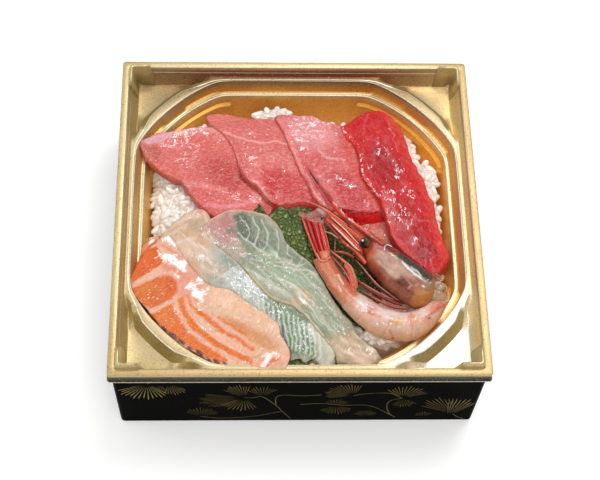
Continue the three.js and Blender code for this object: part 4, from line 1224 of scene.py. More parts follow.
# Each band and seam is a line in the picture with its width in pixels.
BANDS = [("181 300, 184 310, 189 319, 196 328", 6.5), ("189 319, 196 328, 205 335.5, 215 342.5, 225 348.5, "
    "236 354.5, 251 361", 6), ("188.5 297, 192 304.5, 198 311, 206 318", 3.6),
    ("198 311, 206 317.5, 214 324.5, 224 331.5, 235 337.5, 245 343.5, 253 349.5", 5),
    ("218 317, 226 322.4, 236 329, 245.5 335.5", 2)]
SEAMS = [("132 286.5, 140 281.5, 148 278, 157 274.6, 164 272.8, 170 273, 175 276", 4),
    ("152 311.5, 160 307.4, 168 303.4, 175 300", 2.6), ("174 297, 177 309, 182 318.6, 188 328, 195 335.4, "
    "204 342, 214 348.6, 226 355, 238 361", 3.6), ("185.5 299, 189 309, 194 317, 202 324, 211 331.5, "
    "222 338, 234 345, 246 353, 256 359", 3.2), ("190 296, 195 303, 202 309, 211 316, 221 323.6, 232 331, "
    "243 338, 251 345", 3.2), ("159 326, 167 332.5, 177 340, 188 347.6, 199 354, 211 360, 223 365", 2.0)]
# Painted reflections: white patches where the wet slice mirrors the lamp, and small sparks of painted
# highlight round them.
PAINTED_REFLECTIONS = ["157.5 250, 160 254, 163 253.5, 170 254, 174 256, 178 260, 183 259, 186 262, 186 268, "
    "187 271.5, 183 271.5, 179 268, 175 265, 171 262, 166 260, 162 258, 159 255",
    "164 237, 168 235.5, 171 238, 173 242, 176 245, 175 247.4, 172 245, 169 242, 166 240.6, 163 241",
    "187 285, 190 282, 194 282.5, 196 286, 197 290, 201 292, 207 290, 204 294, 202 300.6, 199 299, "
    "197 297, 192 296, 191 292, 194 290, 190 287", "196.6 280, 199 275.6, 201 276.5, 203.4 280, 200 282",
    "174 274, 177 273.5, 178.6 277.6, 175.5 276.8"]
rng = random.Random(4)
PAINTED_SPARKS = []
for x, y in [corner for corners in PAINTED_REFLECTIONS for corner in traced(corners)] * 2:
    place = (x + rng.gauss(0, 1.6), y + rng.gauss(0, 1.6))
    size = (rng.uniform(0.8, 1.8), rng.uniform(0.5, 0.9))
    PAINTED_SPARKS.append((spot(*place, *size, rng.uniform(0, 180), 0.3), rng.choice([PAINTED_REFLECTION, PAINTED_REFLECTION, SEAM]), 0.95))
press(salmon_1, [(stroke(path, width, 1.0), 0.3) for path, width in SEAMS[:5]] +
    [(spot(256, 338, 24, 8, 28), 0.6)])
# Painted shade: a tan hollow around 256 338, and dark brown spots and sides along the lower left rim, partly
# the skin and partly the shadow under the slice.
paint(salmon_1, BELLY, [(spot(186, 282, 24, 18, 50), "#e69c84", 0.85),
    (spot(240, 306, 34, 12, 30), "#eaba9a", 0.9), (spot(222, 298, 14, 8, 20), "#eec0a2", 0.8),
    (spot(256, 338, 26, 7, 28), "#d4925e", 0.9), (spot(238, 326, 18, 4, 30), "#d28454", 0.7),
    (area("157 246, 161 254, 163.6 262, 158 267, 150 271.6, 142 276.6, 131 284, 130 270, 136 258, 146 249",
    0.9), "#dd5e14", 0.97), (area("131 289, 140 284.6, 149 280.6, 158 277, 166 275.4, 172 276.6, 177 283, "
    "178 291, 172 298, 164 302.6, 150 309.6, 142 303, 133 294", 0.9), DEEP_ORANGE, 0.97),
    (spot(172, 286, 6, 8, -10), "#d85414", 0.7), (spot(146, 290, 9, 5, -20), "#da7628", 0.7),
    (area("150 314, 161 309.4, 169 305.4, 174.6 302, 178 311, 183 321.4, 190 332, 198 339.6, 208 346.4, "
    "218 353, 228 359, 226 363.5, 216 361, 206 356.6, 194 350, 183 342.4, 172 334.6, 162 327, 154 319",
    0.8), "#e16e20", 0.97), (spot(163, 318, 7, 6, 30), "#e4803e", 0.7)] +
    [(stroke(path, width, 0.9), ORANGE, 0.97) for path, width in BANDS] +
    [(stroke(path, width, 0.8), SEAM, 0.95) for path, width in SEAMS] +
    [(stroke([(x + 1.2, y - 0.6) for x, y in traced(path)], 1.0, 0.6), "#f0c4b0", 0.8)
     for path, _ in SEAMS[:5]] +
    [(stroke("157 241, 148 248.6, 140 258, 135 266", 2.2, 0.8), "#d05416", 0.8)] +
    [(spot(x, y, *size, 38, 0.4), "#4e140e", 0.9) for x, y, size in [(164, 329, (4, 1.6)),
    (172, 335.4, (6, 2.2)), (181, 342, (5, 2)), (190, 348, (4, 1.2)), (199, 353.4, (5, 2)),
    (208, 358.4, (4, 1.2)), (217, 362, (5, 1.8)), (226, 364.6, (4, 1.6))]] +
    [(stroke("160 241, 166 247, 174 252, 181 258, 186 264", 6, 2), "#e8a48e", 0.9),
    (stroke("162 245, 170 250, 179 256", 1.2, 0.7), "#d86038", 0.6),
    (stroke("164 266, 176 271, 186 278, 192 286", 5, 2), "#e48c74", 0.8),
    (spot(268, 362, 18, 6, -10), "#eaa280", 0.8), (stroke("264 367, 271 362, 280 358", 4, 1.5), "#e07442",
    0.8), (stroke("252 358, 262 354, 276 352.6, 288 354", 2, 1), "#e29670", 0.6),
    (area("260 367, 264 360, 268 355, 273 356, 269 361, 265 368", 0.9), PAINTED_REFLECTION, 0.85),
    (stroke("262 357, 270 354.6, 279 353.6", 1.3, 0.6), PAINTED_REFLECTION, 0.8)] +
    [(area(corners, 0.55), PAINTED_REFLECTION, 1.0) for corners in PAINTED_REFLECTIONS] + PAINTED_SPARKS, side="#7e301e", wobble=1.0)
mark(salmon_1, "gloss_and_painted_glints", [(spot(145, 268, 8, 9), 0.6), (spot(158, 291, 16, 8, -20), 0.6),
    (spot(168, 318, 9, 9), 0.5), (stroke("176 306, 180 319, 190 331", 4, 2), 1.0),
    (spot(217, 303, 9, 7), 0.9), (spot(201, 306, 5, 6), 1.0), (spot(239, 315, 5, 5), 1.0),
    (spot(228, 300, 24, 10, 25), 0.45), (spot(268, 358, 14, 6, -10), 1.0), (spot(262, 363, 8, 4), 0.9),
    (spot(246, 362, 6, 3), 0.8), (spot(257, 310, 4, 5, 30), 0.9),
    (stroke("192 312, 206 326, 224 336, 240 345", 5, 2), 0.6), (spot(250, 318, 26, 8, 30), 0.4),
    (spot(202, 331, 12, 5, 40), 0.5)], base=0.2)

salmon_2 = soft_copy("salmon_2", "salmon_slice_2", orange_flesh)
# The white spot near the upper tip is a painted highlight.
paint(salmon_2, "#de966c", [(stroke("134 282, 139 262, 150 245, 160 236", 5, 3), "#d66e36", 0.8),
    (stroke("150 240, 160 234, 172 224", 3, 1.5), "#e2a882", 0.8),
    (spot(151, 242, 3, 1.6, -30), PAINTED_REFLECTION, 0.9)], side="#d67032")
mark(salmon_2, "gloss_and_painted_glints", [], base=0.3)
print("points on the salmon:", [len(p.data.vertices) for p in (salmon_1, salmon_2)])

# %% [markdown]
# ## The white fish
# These slices are so thin that the leaf below shows through as a green grey patch. Thin
# white sinews curve across the darker one. The lower end of the other is silvery, because
# it was cut next to the skin, so thin pale lines fan out over it.

# %% Slice the white fish
GLASSY, PATCH, SINEW = "#90967c", "#5a604e", "#d0d6c6"
PEACH, ROSE = "#d4aa86", "#bc7272"
white_fish_1 = slab("white_fish_slice_1", "white_fish_1", pale_flesh, "white_fish", 4.2,
    left="160 235 46.8, 170 252 47.4, 184 272 48.2, 202 290 48.8, 226 301 49, 248 312 49, 265 325 48.8, "
    "274 340 48.4, 283 351 48, 290 358.5 47.6", right="207 211 47.4, 216 226 48.4, 226 243 49, "
    "245 262 49.2, 258 278 49, 275 292 48.8, 296 303 48.6, 312 316 48.4, 325 333 48.2, 336 349 47.6, "
    "334 360 47", start="160 235 46.8, 168 227.5 46.8, 178 219 47, 188 211.5 47.2, 198 208.8 47.4, "
    "207 211 47.4", end="290 358.5 47.6, 298 356.5 47.4, 304 360 47.2, 311 357 47.2, 317 361 47, "
    "321 366 47, 327 367.5 47, 334 360 47", ragged=0.7, stir=(0.8, 0.45), taper=0.65)
press(white_fish_1, [(stroke("205 232, 222 246, 240 262", 8, 4), -0.8), (spot(196, 228, 10, 5), 0.4)])
RIBS_OF_SKIN = [[(258 + 5 * n, 298 + 2.6 * n), (259.5 + 5 * n, 310 + 2.8 * n),
    (263 + 4.8 * n, 324 + 2.6 * n), (267 + 4.2 * n, 338 + 1.8 * n)] for n in range(13)]
# Pale wisps painted as highlights on the slice's upper part.
HIGHLIGHT_WISPS = ["166 237, 176 231, 187 226", "172 244, 184 240, 196 237", "190 252, 200 255, 209 260",
    "182 262, 190 270, 197 281", "195 244, 206 250, 214 258", "204 214, 207 222, 212 231",
    "178 223, 188 218, 199 215", "202 266, 212 272, 224 276"]
# Painted light and shade: a pale highlight where the second slice's edge lies over this one, and a dark
# green shadow line beside the salmon.
paint(white_fish_1, "#acaa9c", [(area("160 236, 175 222, 190 211, 206 211, 216 226, 214 246, 204 262, "
    "206 280, 192 272, 172 250", 7), PEACH, 0.9), (stroke("190 211, 198 210, 206 213, 212 218", 7, 3),
    "#de9e8c", 0.85), (spot(196, 226, 10, 6), "#ba9e86", 0.8), (spot(184, 248, 12, 9, 30), "#dec0a8", 0.8),
    (stroke("165 232, 178 221, 190 213", 3, 1.5), "#dcb8a0", 0.8),
    (spot(206, 262, 12, 8, 40), "#d0b69e", 0.85), (spot(214, 272, 12, 8, 30), "#c4ae96", 0.7),
    (spot(220, 256, 12, 7, 40), "#bab6a8", 0.8), (spot(232, 264, 14, 5, 35), "#929686", 0.8),
    (spot(224, 280, 14, 4, 12), "#a09c8c", 0.7), (area("224 276, 236 268, 248 273, 260 287, 272 298, "
    "268 310, 252 302, 238 292, 226 287", 4), "#babeb8", 0.95), (area("262 298, 276 300, 294 307, 310 321, "
    "324 339, 330 352, 316 358, 290 354, 282 338, 279 322, 266 312", 3), "#6c825e", 0.95),
    (spot(289.6, 342, 2.6, 5.4, 30, 0.3), "#5c8222", 0.95), (spot(287, 318, 1.8, 9, 6), "#688a58", 0.8),
    (spot(296, 334, 1.8, 10, 10), "#6c8c5a", 0.7), (spot(304, 330, 1.6, 9, 14), "#6e8c62", 0.6),
    (spot(304, 351, 9, 3, -12), "#748e68", 0.8), (spot(313, 353, 4, 6, 30), "#749260", 0.6),
    (area("310 322, 322 338, 336 351, 333 364, 324 368, 318 360, 316 344, 306 328", 3), "#c4c0aa", 0.9),
    (stroke("318 336, 324 350, 324 364", 3, 2), "#aaa892", 0.6), (stroke("250 274, 262 290, 280 301.5, "
    "294 307, 306 316, 320 333, 333 350", 3.4, 1.2), "#d4d2c0", 0.85),
    (stroke("203 234, 214 245, 228 254, 242 266", 3, 1.5), "#cebcae", 0.8),
    (stroke("281.6 324, 283 336, 287 346, 290 351", 3, 1.2), "#464a30", 0.8)] +
    [(stroke(path, 1.6, 0.8), "#d6dcd4", 0.75) for path in RIBS_OF_SKIN] +
    [(stroke([(212 + 3 * n, 282 - 2 * n), (222 + 3 * n, 280 - 2.6 * n), (234 + 2 * n, 284 - 2.6 * n)], 0.9,
    0.6), "#d0cec6", 0.6) for n in range(7)] + [(stroke([(178 + 5 * n, 231 + 3 * n),
    (186 + 5 * n, 236 + 5 * n), (192 + 5 * n, 246 + 5 * n)], 0.9, 0.6), "#e8d0c2", 0.7) for n in range(6)] +
    [(stroke(wisp, 2.4, 2.4), "#f0e0d2", 0.5) for wisp in HIGHLIGHT_WISPS], side="#beb696")
mark(white_fish_1, "gloss_and_painted_glints", [(spot(207, 232, 8, 6, 30), 1.0), (spot(218, 244, 8, 3, 30), 1.0),
    (spot(194, 256, 16, 2.4), 0.9), (spot(206, 259, 7, 4), 1.0), (spot(245, 284, 20, 12, 40), 1.3),
    (spot(270, 302, 22, 10, 40), 1.0), (spot(302, 336, 22, 14, 60), 0.85), (spot(192, 215, 8, 5, -30), 0.9),
    (spot(224, 275, 14, 8, 20), 0.5)], base=0.2)

white_fish_2 = slab("white_fish_slice_2", "white_fish_2", pale_flesh, "white_fish", 4.6,
    left="204 237 49, 213 244 49.6, 224 251.5 50.2, 236 261 50.5, 246 269.5 50.6, 256 282 50.6, "
    "264 291 50.6, 273 298.5 50.6, 284 302.5 50.6, 294 306 50.4, 306 316 50.2, 318 330 49.8, 327 341 49.2, "
    "334 351 48.4, 337 361 47.8", right="256 211.5 47.6, 267 214.5 47.4, 275 221 47, 281 230 46.8, "
    "287 242 46.6, 298 252.5 46.4, 309 261 46.2, 318 272 46, 326 286 46, 333 298 46, 342 311 46, "
    "352 322 46, 357 333 46.2, 367 343 46.4, 377 350 46.4, 381 356 46.4",
    start="204 237 49, 200.5 230 48.8, 206 222.5 48.6, 215 215.5 48.4, 228 209.8 48.2, 242 208.8 48, "
    "256 211.5 47.6", end="337 361 47.8, 347 363.5 47.4, 360 366 47, 372 365 46.6, 381 356 46.4",
    ragged=0.5, stir=(0.7, 0.3))
SINEWS = ["240 216, 246 224, 249 233, 246 241", "252 217, 257 226, 258 236, 254 246",
    "262 220, 267 231, 267 242, 262 252", "276 229, 279 240, 278 250, 275 259",
    "288 245, 287 252, 292 258, 288 266", "303 257, 299 264, 293 271", "238 232, 246 240, 258 248, 270 258",
    "250 258, 268 263, 288 268, 308 271, 318 275", "268 262, 284 262, 298 266, 306 262",
    "296 292, 306 302, 318 318, 330 330", "276 278, 292 284, 306 296, 320 310"]
press(white_fish_2, [(stroke("252 262, 270 276, 290 290, 312 312, 330 334", 6, 4), 0.6)] +
    [(stroke(line, 1.4, 1.0), -0.12) for line in SINEWS])
STREAKS = [[(246 + 2 * n, 268 - 3.2 * n), (266 + 3 * n, 280 - 3.4 * n), (288 + 3 * n, 296 - 4.4 * n),
    (308 + 3 * n, 318 - 5 * n), (326 + 4 * n, 342 - 4 * n)] for n in range(8)]
# Painted highlights: a white glint at 300 298, and pale streaks over the lower end.
paint(white_fish_2, GLASSY, [(area("202 230, 214 216, 230 209, 242 208, 256 211, 250 218, 236 214, "
    "236 226, 238 240, 246 252, 238 260, 222 248, 206 238", 5), "#c2928a", 0.9),
    (spot(214, 220, 12, 5, -30), "#ce9288", 0.7), (spot(226, 224, 6, 8, 20, 0.7), ROSE, 0.7),
    (spot(228, 238, 7, 8, 30, 0.7), "#c0888a", 0.75), (spot(236, 250, 10, 8, 30, 0.7), "#b0a492", 0.8),
    (stroke("224 210.5, 240 209.5, 256 212, 268 215.5, 277 225", 3, 1.5), "#cea086", 0.9),
    (area("234 215, 246 213, 264 216, 278 228, 286 243, 304 259, 314 270, 296 270, 268 264, 250 258, "
    "242 244", 3), "#828a74", 0.95), (area("233 216, 238 213, 245 214, 250 222, 253 234, 264 242, 268 250, "
    "258 248, 246 240, 238 236, 236 226", 2.5), PATCH, 0.9), (spot(262, 236, 8, 14, -15), "#768068", 0.75),
    (spot(231, 230, 5, 4), "#787a6c", 0.7), (spot(268, 256, 11, 6, 30), "#7a9e70", 0.8),
    (spot(278, 265, 8, 3, 20), "#6e9454", 0.6), (spot(283, 238, 7, 14, -25), "#a0a28e", 0.7),
    (spot(272, 222, 8, 5, 30), "#b2a690", 0.7), (area("250 259, 272 266, 296 270, 318 274, 324 284, "
    "306 290, 284 286, 262 274", 4), "#8a9c7a", 0.85), (area("244 266, 258 272, 284 284, 304 292, 304 303, "
    "286 302, 268 294, 254 280", 4), "#a2a48a", 0.9), (spot(310, 285, 12, 10, 40), "#94a68a", 0.8),
    (spot(322, 300, 10, 14, -35), "#a4ae94", 0.8),
    (area("304 306, 320 304, 340 322, 350 336, 334 342, 318 326", 5), "#8a9474", 0.85),
    (area("328 340, 346 330, 356 332, 368 344, 382 352, 380 362, 362 367, 338 363, 333 352", 8), "#bc9e7c",
    0.95), (spot(352, 352, 12, 5, 10), "#c09872", 0.7), (stroke("358 364, 366 362, 374 363", 1.5, 1),
    "#c46850", 0.4), (stroke("247 271, 258 285, 270 297, 283 302, 294 306, 306 316, 320 332, 333 351", 3,
    1.5), "#ceb896", 0.85), (stroke("258 276, 276 288, 292 296", 5, 3), "#c8c8b8", 0.6),
    (spot(304, 297, 10, 7, 40), "#be9670", 0.9), (spot(296, 303, 8, 3, 20), "#c8a078", 0.7),
    (stroke("204 236, 214 245, 228 255, 242 267, 248 272", 1.8, 1), "#ac9282", 0.6),
    (stroke("288 246, 300 256, 312 265, 322 281, 336 303", 2, 1.2), "#bac4b2", 0.7)] +
    [(stroke(line, 1.1, 0.7), SINEW, 0.85) for line in SINEWS] + [(stroke(line, 2.0 + 0.9 * (n % 3), 1.8),
    ("#d0d0c0", "#8e9e82", "#ccb89c")[n % 3], 0.35) for n, line in enumerate(STREAKS)] +
    [(stroke([(x + 3, y + 1.6) for x, y in line], 1.0, 0.8), "#d8dacc", 0.35) for line in STREAKS[::2]] +
    [(stroke("204 228, 214 217, 228 210.6, 242 209.6, 256 212, 268 215.6", 2.2, 1), "#d8b09a", 0.8),
    (stroke("276 223, 282 232, 288 243.6, 299 254, 310 262.6", 1.6, 0.8), "#c4b096", 0.8),
    (stroke("300 298, 306 302.6", 2.4, 0.8), "#faf6f0", 0.9)] +
    [(stroke([(x, y), (x + 8, y + 5), (x + 17, y + 8)], 2.4, 2.4), "#ead2be", 0.5) for x, y in ((336, 346),
    (341, 338), (350, 340), (346, 351), (358, 350), (352, 333))] +
    [(stroke([(x, y), (x + 7, y + 6), (x + 15, y + 15)], 1.4, 1.2), "#e2e6dc", 0.4) for x, y in ((262, 240),
    (270, 250), (258, 268), (272, 272), (288, 282), (300, 272), (312, 284), (322, 300), (318, 316),
    (306, 310), (330, 318))] + [(spot(372, 348, 6, 3, 30), "#e2cebe", 0.7),
    (spot(362, 361, 9, 3, 10), "#deb8a0", 0.7)], side="#c4b696", blotch=0.2)
mark(white_fish_2, "gloss_and_painted_glints", [(spot(210, 232, 8, 6, 30), 1.0), (spot(229, 233, 4, 3), 1.0),
    (spot(214, 240, 8, 4, 30), 0.9), (spot(220, 246, 5, 3), 0.9), (spot(223, 234, 8, 6), 0.5),
    (spot(262, 256, 16, 8, 30), 0.5), (spot(305, 300, 5, 5, 40), 1.0), (spot(278, 284, 12, 5, 40), 0.6),
    (spot(318, 308, 5, 10, -40), 0.6), (spot(352, 352, 10, 5), 0.7), (spot(308, 274, 8, 4), 0.6),
    (spot(298, 250, 5, 5), 0.4), (spot(370, 350, 8, 4, 30), 0.9), (spot(342, 332, 8, 4, 50), 0.7),
    (spot(290, 268, 14, 4, 15), 0.7), (stroke("250 262, 270 272, 292 286, 310 300", 6, 4), 0.7),
    (stroke("300 268, 316 284, 328 304, 342 326", 5, 3), 0.65)], base=0.3)
print("points on the white fish:", [len(p.data.vertices) for p in (white_fish_1, white_fish_2)])

# %% [markdown]
# ## The leaves
# Perilla leaves are thin, toothed and deeply netted. Their imported solids already have the
# teeth and the waves, so each is copied and divided into finer faces. The puffed cells
# between the veins are a pattern in the shader with painted light and shade: pale in their
# middles, dark in the creases.

# %% Lay the leaves
leaf_green, tree, shader = new_material("leaf_green", Roughness=0.42, Coat_Weight=0.2, Coat_Roughness=0.25,
    Subsurface_Weight=0.08, Subsurface_Scale=0.001)
place = add(tree, "TexCoord").outputs["Object"]
warp = add(tree, "TexNoise", {"Vector": place, "Scale": 320.0}).outputs["Color"]
bent = add(tree, "Mix", data_type="RGBA", blend_type="LINEAR_LIGHT")
for index, value in ((0, 0.0016), (6, place), (7, warp)):
    feed(tree, bent.inputs[index], value)
cells = add(tree, "TexVoronoi", {"Vector": bent.outputs[2], "Scale": 430.0},
    feature="DISTANCE_TO_EDGE").outputs["Distance"]
puffed = spread(tree, cells, 0.0, 0.30)
shade = use(tree, relief_group, Coarse=5.0, Fine=0.9, Fine_Share=0.7)["Height"]
green = blend(tree, spread(tree, shade, 0.45, 1.15), (0.10, 0.16, 0.022, 1), (0.38, 0.46, 0.16, 1))
# Dark in the creases as painted shade, pale on the puffed middles as painted light.
netted = blend(tree, puffed, (0.042, 0.070, 0.010, 1), green)
feed(tree, shader["Base Color"], blend(tree, 0.72, attribute(tree, "tint", "Color"), netted))
feed(tree, shader["Normal"], add(tree, "Bump",
    {"Height": puffed, "Strength": 1.0, "Distance": 0.0014}).outputs[0])
SHADE_GREEN, FRESH_GREEN = "#5c7c28", "#689654"
for number in (1, 2, 3, 4):
    node = f"shiso_{number}"
    rough = bpy.data.objects.new(node, nodes[node].data.copy())
    bpy.context.scene.collection.objects.link(rough)
    finer = rough.modifiers.new("finer", "SUBSURF")
    finer.subdivision_type, finer.levels = "SIMPLE", 2
    made = bpy.data.meshes.new_from_object(rough.evaluated_get(bpy.context.evaluated_depsgraph_get()))
    bpy.data.objects.remove(rough)
    made.materials.clear()
    made.materials.append(leaf_green)
    leaf = bpy.data.objects.new(f"leaf_{number}", made)
    bpy.context.scene.collection.objects.link(leaf)
    points = where_points(leaf)
    points[:, 2] += 0.35 * (cloud(points * (1, 1, 0), 3.0, 5) - 0.5)
    move_points(leaf, points)
    paint(leaf, SHADE_GREEN)
    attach(leaf, "root")
    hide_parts(node)
print("leaves laid")

# %% [markdown]
# Where leaf tips stand up before the fish, they are drawn as thin slabs between traced
# edges, with their rounded teeth in the first edge.

# %% Raise the leaf tips
LEAF = dict(node=None, material=leaf_green, slot="leaf", thick=0.5, bow=0.5, stir=(0.5, 0.5), ragged=0.35,
    levels=2)
crown = slab("leaf_crown", **LEAF, left="269 220 45.4, 274 232 44.6, 282 246 44.2, 294 258 44, "
    "306 268 43.6", right="304 216 45.6, 307 228 45, 311 242 44.4, 316 258 43.8, 321 268 43.4",
    start="269 220 45.4, 274 213 47.2, 279.6 206.4 48, 284 208 48, 288 213 47.6, 291.6 219 46.6, "
    "293.6 214.4 47.4, 297 212 47.6, 300.6 213 47.2, 304 216 45.6",
    end="306 268 43.6, 314 269 43.4, 321 268 43.4")
paint(crown, "#728c2e", [(stroke("273 216, 280 207.4, 288 214.4, 291 219", 9, 4), FRESH_GREEN, 0.8),
    (stroke("293 216, 297 213, 301 215", 5, 2.5), FRESH_GREEN, 0.6),
    (stroke("280 209, 288 228, 297 244, 309 259", 1.6, 1.0), "#96a860", 0.7),
    (stroke("300 224, 294 232, 286 238", 1.2, 0.8), "#8ca054", 0.6),
    (stroke("304 236, 298 243, 292 249", 1.2, 0.8), "#8ca054", 0.6),
    (stroke("298 213, 303 228, 307 242, 311 256", 3, 1.8), "#2c3a14", 0.7)])
tip = slab("leaf_tip_back", **LEAF, left="252.6 211.6 46.4, 255 213.6 46.2, 260 216 46",
    right="261.4 206 47.4, 264.4 210.6 47, 268 216.6 46.4", start="252.6 211.6 46.4, 255 208.6 46.8, "
    "256.6 207.4 47, 258.4 203.8 47.4, 261.4 206 47.4", end="260 216 46, 264 217 46.2, 268 216.6 46.4")
paint(tip, "#344618")
tip = slab("leaf_tip_front", **LEAF, left="287 357.6 45.6, 285.6 363 45.2, 284.6 368 44.8",
    right="315 354.6 45.8, 311 361 45.4, 303 368 44.8", start="287 357.6 45.6, 293 357 46, 297 355.4 46.2, "
    "302 358.8 45.8, 308 357.4 46, 315 354.6 45.8", end="284.6 368 44.8, 293 368.4 44.8, 303 368 44.8")
paint(tip, "#608a3a", [(stroke("300 358, 296 364, 290 368", 3, 1.5), "#223810", 0.8),
    (stroke("312 356, 304 362, 298 368", 2.4, 1.2), "#96b264", 0.7),
    (stroke("286 360, 285 367", 2.4, 1.2), "#223412", 0.8)])
print("leaf tips raised")

# %% [markdown]
# ## The rice
# A heap of cooked rice is thousands of grains, but only those on top are seen. The packed
# heap is softened into a core, and real grains of 6.4 by 3.2 mm are strewn over it where no
# food covers it. Each grain is a small plump loft with blunt ends and a slight bend.

# %% Shape one grain
GRAIN_LENGTH, GRAIN_WIDTH = 6.4, 3.2
GRAIN_SIDES = 8
STATIONS = (0.0, 0.07, 0.22, 0.5, 0.78, 0.93, 1.0)
GIRTH = (0.40, 0.72, 0.96, 1.0, 0.96, 0.72, 0.38)


def grain(rng):
    """Points and faces of one grain, lying along x."""
    length, width = GRAIN_LENGTH * rng.uniform(0.84, 1.06), GRAIN_WIDTH * rng.uniform(0.88, 1.1)
    bend = rng.uniform(-0.6, 0.6)
    rings = []
    for t, share in zip(STATIONS, GIRTH):
        turns = 2 * math.pi * np.arange(GRAIN_SIDES) / GRAIN_SIDES
        ring = np.zeros((GRAIN_SIDES, 3))
        ring[:, 0] = (t - 0.5) * length
        ring[:, 1] = np.cos(turns) * share * width / 2 + bend * math.sin(math.pi * t)
        ring[:, 2] = np.sin(turns) * share * width / 2 * 0.82
        rings.append(ring)
    return closed_loft(rings)


print("a grain has", len(grain(random.Random(1))[1]), "faces")

# %% [markdown]
# Each grain is dropped on the core at a random spot and turned along the slope there. A
# sight line upwards tells whether a slice lies over it.

# %% Strew the grains


def tree_of(names):
    """The solids of these nodes as one tree that answers ray and distance questions."""
    points, faces = joined([(np.array([v.co[:] for v in nodes[name].data.vertices]) / MM,
        [tuple(p.vertices) for p in nodes[name].data.polygons]) for name in names])
    return BVHTree.FromPolygons(points.tolist(), faces)


core_tree = tree_of(["rice"])
food_tree = tree_of([name for name in nodes if name not in ("rice", "box", "tray")])
GRAIN_COUNT, UPPER_SHARE = 1350, 0.35


def lay(centre, normal, rng):
    """One grain at a place, turned along the slope there."""
    lie = Vector(normal).to_track_quat("Z", "X").to_matrix()
    spin = Matrix.Rotation(rng.uniform(0, math.pi), 3, "Z")
    tip = Matrix.Rotation(rng.gauss(0, 0.3), 3, "Y")
    points, faces = grain(rng)
    return points @ np.array(lie @ spin @ tip).T + np.array(centre), faces


def strew(count, seed):
    """Grains on the open parts of the heap."""
    rng = random.Random(seed)
    grains, taken = [], []
    for _ in range(count * 14):
        if len(grains) >= count:
            break
        angle = rng.uniform(0, 2 * math.pi)
        reach = float(well_reach(np.array([angle]), 8.6)[0]) * math.sqrt(rng.uniform(0.0, 1.0))
        spot_at = Vector((reach * math.cos(angle), reach * math.sin(angle), 80))
        hit, normal, _, _ = core_tree.ray_cast(spot_at, Vector((0, 0, -1)))
        if hit is None:
            continue
        x, y = in_picture(np.array([hit]))[0]
        # The picture shows no grains at the heap's far edge and along its bare right side.
        if y < 129 or (x > 414 and y < 166) or x > 440 or (y > 320 and x > 396) or (y > 346 and x > 366):
            continue
        upper = rng.random() < UPPER_SHARE
        centre = hit + normal * (1.8 if upper else 0.3)
        open_above = any(food_tree.ray_cast(centre + Vector(step), Vector((0, 0, 1)), 12.0)[0] is None
                         for step in ((0, 0, 0), (3, 0, 0), (-3, 0, 0), (0, 3, 0), (0, -3, 0)))
        gap = food_tree.find_nearest(centre)[3]
        if not open_above or gap < 1.4:
            continue
        spacing = 3.6 if upper else 2.2
        if any((centre - other).length < spacing for other in taken[-900:]):
            continue
        taken.append(centre)
        placed, faces = lay(centre, normal, rng)
        outer = well_reach(np.arctan2(placed[:, 1], placed[:, 0]), 5.6)
        if (np.hypot(placed[:, 0], placed[:, 1]) < outer).all():
            grains.append((placed, faces))
    return grains


def heap(outline, z, count, seed):
    """A small heap of grains in an oval (middle and radii in pixels) between two heights."""
    rng = random.Random(seed)
    (x, y), (wide, tall) = outline
    grains = []
    for _ in range(count):
        angle, reach = rng.uniform(0, 2 * math.pi), math.sqrt(rng.random())
        pixel = (x + wide * reach * math.cos(angle), y + tall * reach * math.sin(angle))
        centre = at_height([pixel], rng.uniform(*z))[0]
        grains.append(lay(centre, (rng.uniform(-0.5, 0.5), 0.5, 1), rng))
    return grains


# The grains glow faintly warm, a painted light that stands for light scattered inside them.
rice_grain, tree, shader = new_material("rice_grain", Subsurface_Weight=0.6,
    Subsurface_Radius=(1.0, 1.0, 0.95), Subsurface_Scale=0.0025, Emission_Color=(1.0, 0.80, 0.62, 1),
    Emission_Strength=0.05, Coat_Weight=0.45, Coat_Roughness=0.12, Roughness=0.4)
cloudy = use(tree, relief_group, Coarse=4.0, Fine=1.1, Fine_Share=0.6)["Height"]
white = blend(tree, cloudy, (0.92, 0.80, 0.68, 1), (0.99, 0.93, 0.87, 1))
# The "gap" value paints the core dark golden brown in the front gap, as painted shade and the gold wall's
# painted reflection.
feed(tree, shader["Base Color"], blend(tree, attribute(tree, "gap"), white, (0.34, 0.17, 0.035, 1)))
moist = use(tree, relief_group, Coarse=1.6, Fine=0.6)["Height"]
feed(tree, shader["Normal"], add(tree, "Bump",
    {"Height": moist, "Strength": 0.3, "Distance": 0.0005}).outputs[0])
strewn = strew(GRAIN_COUNT, 5) + heap(((274, 116), (17, 6)), (38, 43.5), 42, 8)
strewn += heap(((322, 361), (12, 4)), (40, 43), 16, 9) + heap(((378, 337), (17, 6)), (38.5, 41), 34, 12)
make_piece("rice_grains", *joined(strewn), rice_grain, "rice")
core = soft_copy("rice", "rice_core", rice_grain, face=1.2, rounds=4, stir=(0.6, 0.8))
points = where_points(core)
bare = area("411 130, 424 134, 446 150, 446 168, 436 166, 424 168, 416 152", 2.5)(in_picture(points))
# In the front gap the core is lowered, and painted dark golden brown as shade.
front_gap_and_shade = area("368 350, 376 345, 388 347, 399 342, 412 340, 428 332, 440 318, 446 304, 462 300, "
    "456 330, 432 356, 404 372, 376 372", 2)(in_picture(points))
bare = np.maximum(bare, 1.7 * front_gap_and_shade)
store(core, "gap", front_gap_and_shade)
points[:, 2] += (0.5 - 9 * bare * ease(20, 30, points[:, 2])
                 - 12.5 * ease(54, 58, points[:, 1]) * ease(20, 30, points[:, 2]))
move_points(core, points)
print(len(strewn), "grains strewn")

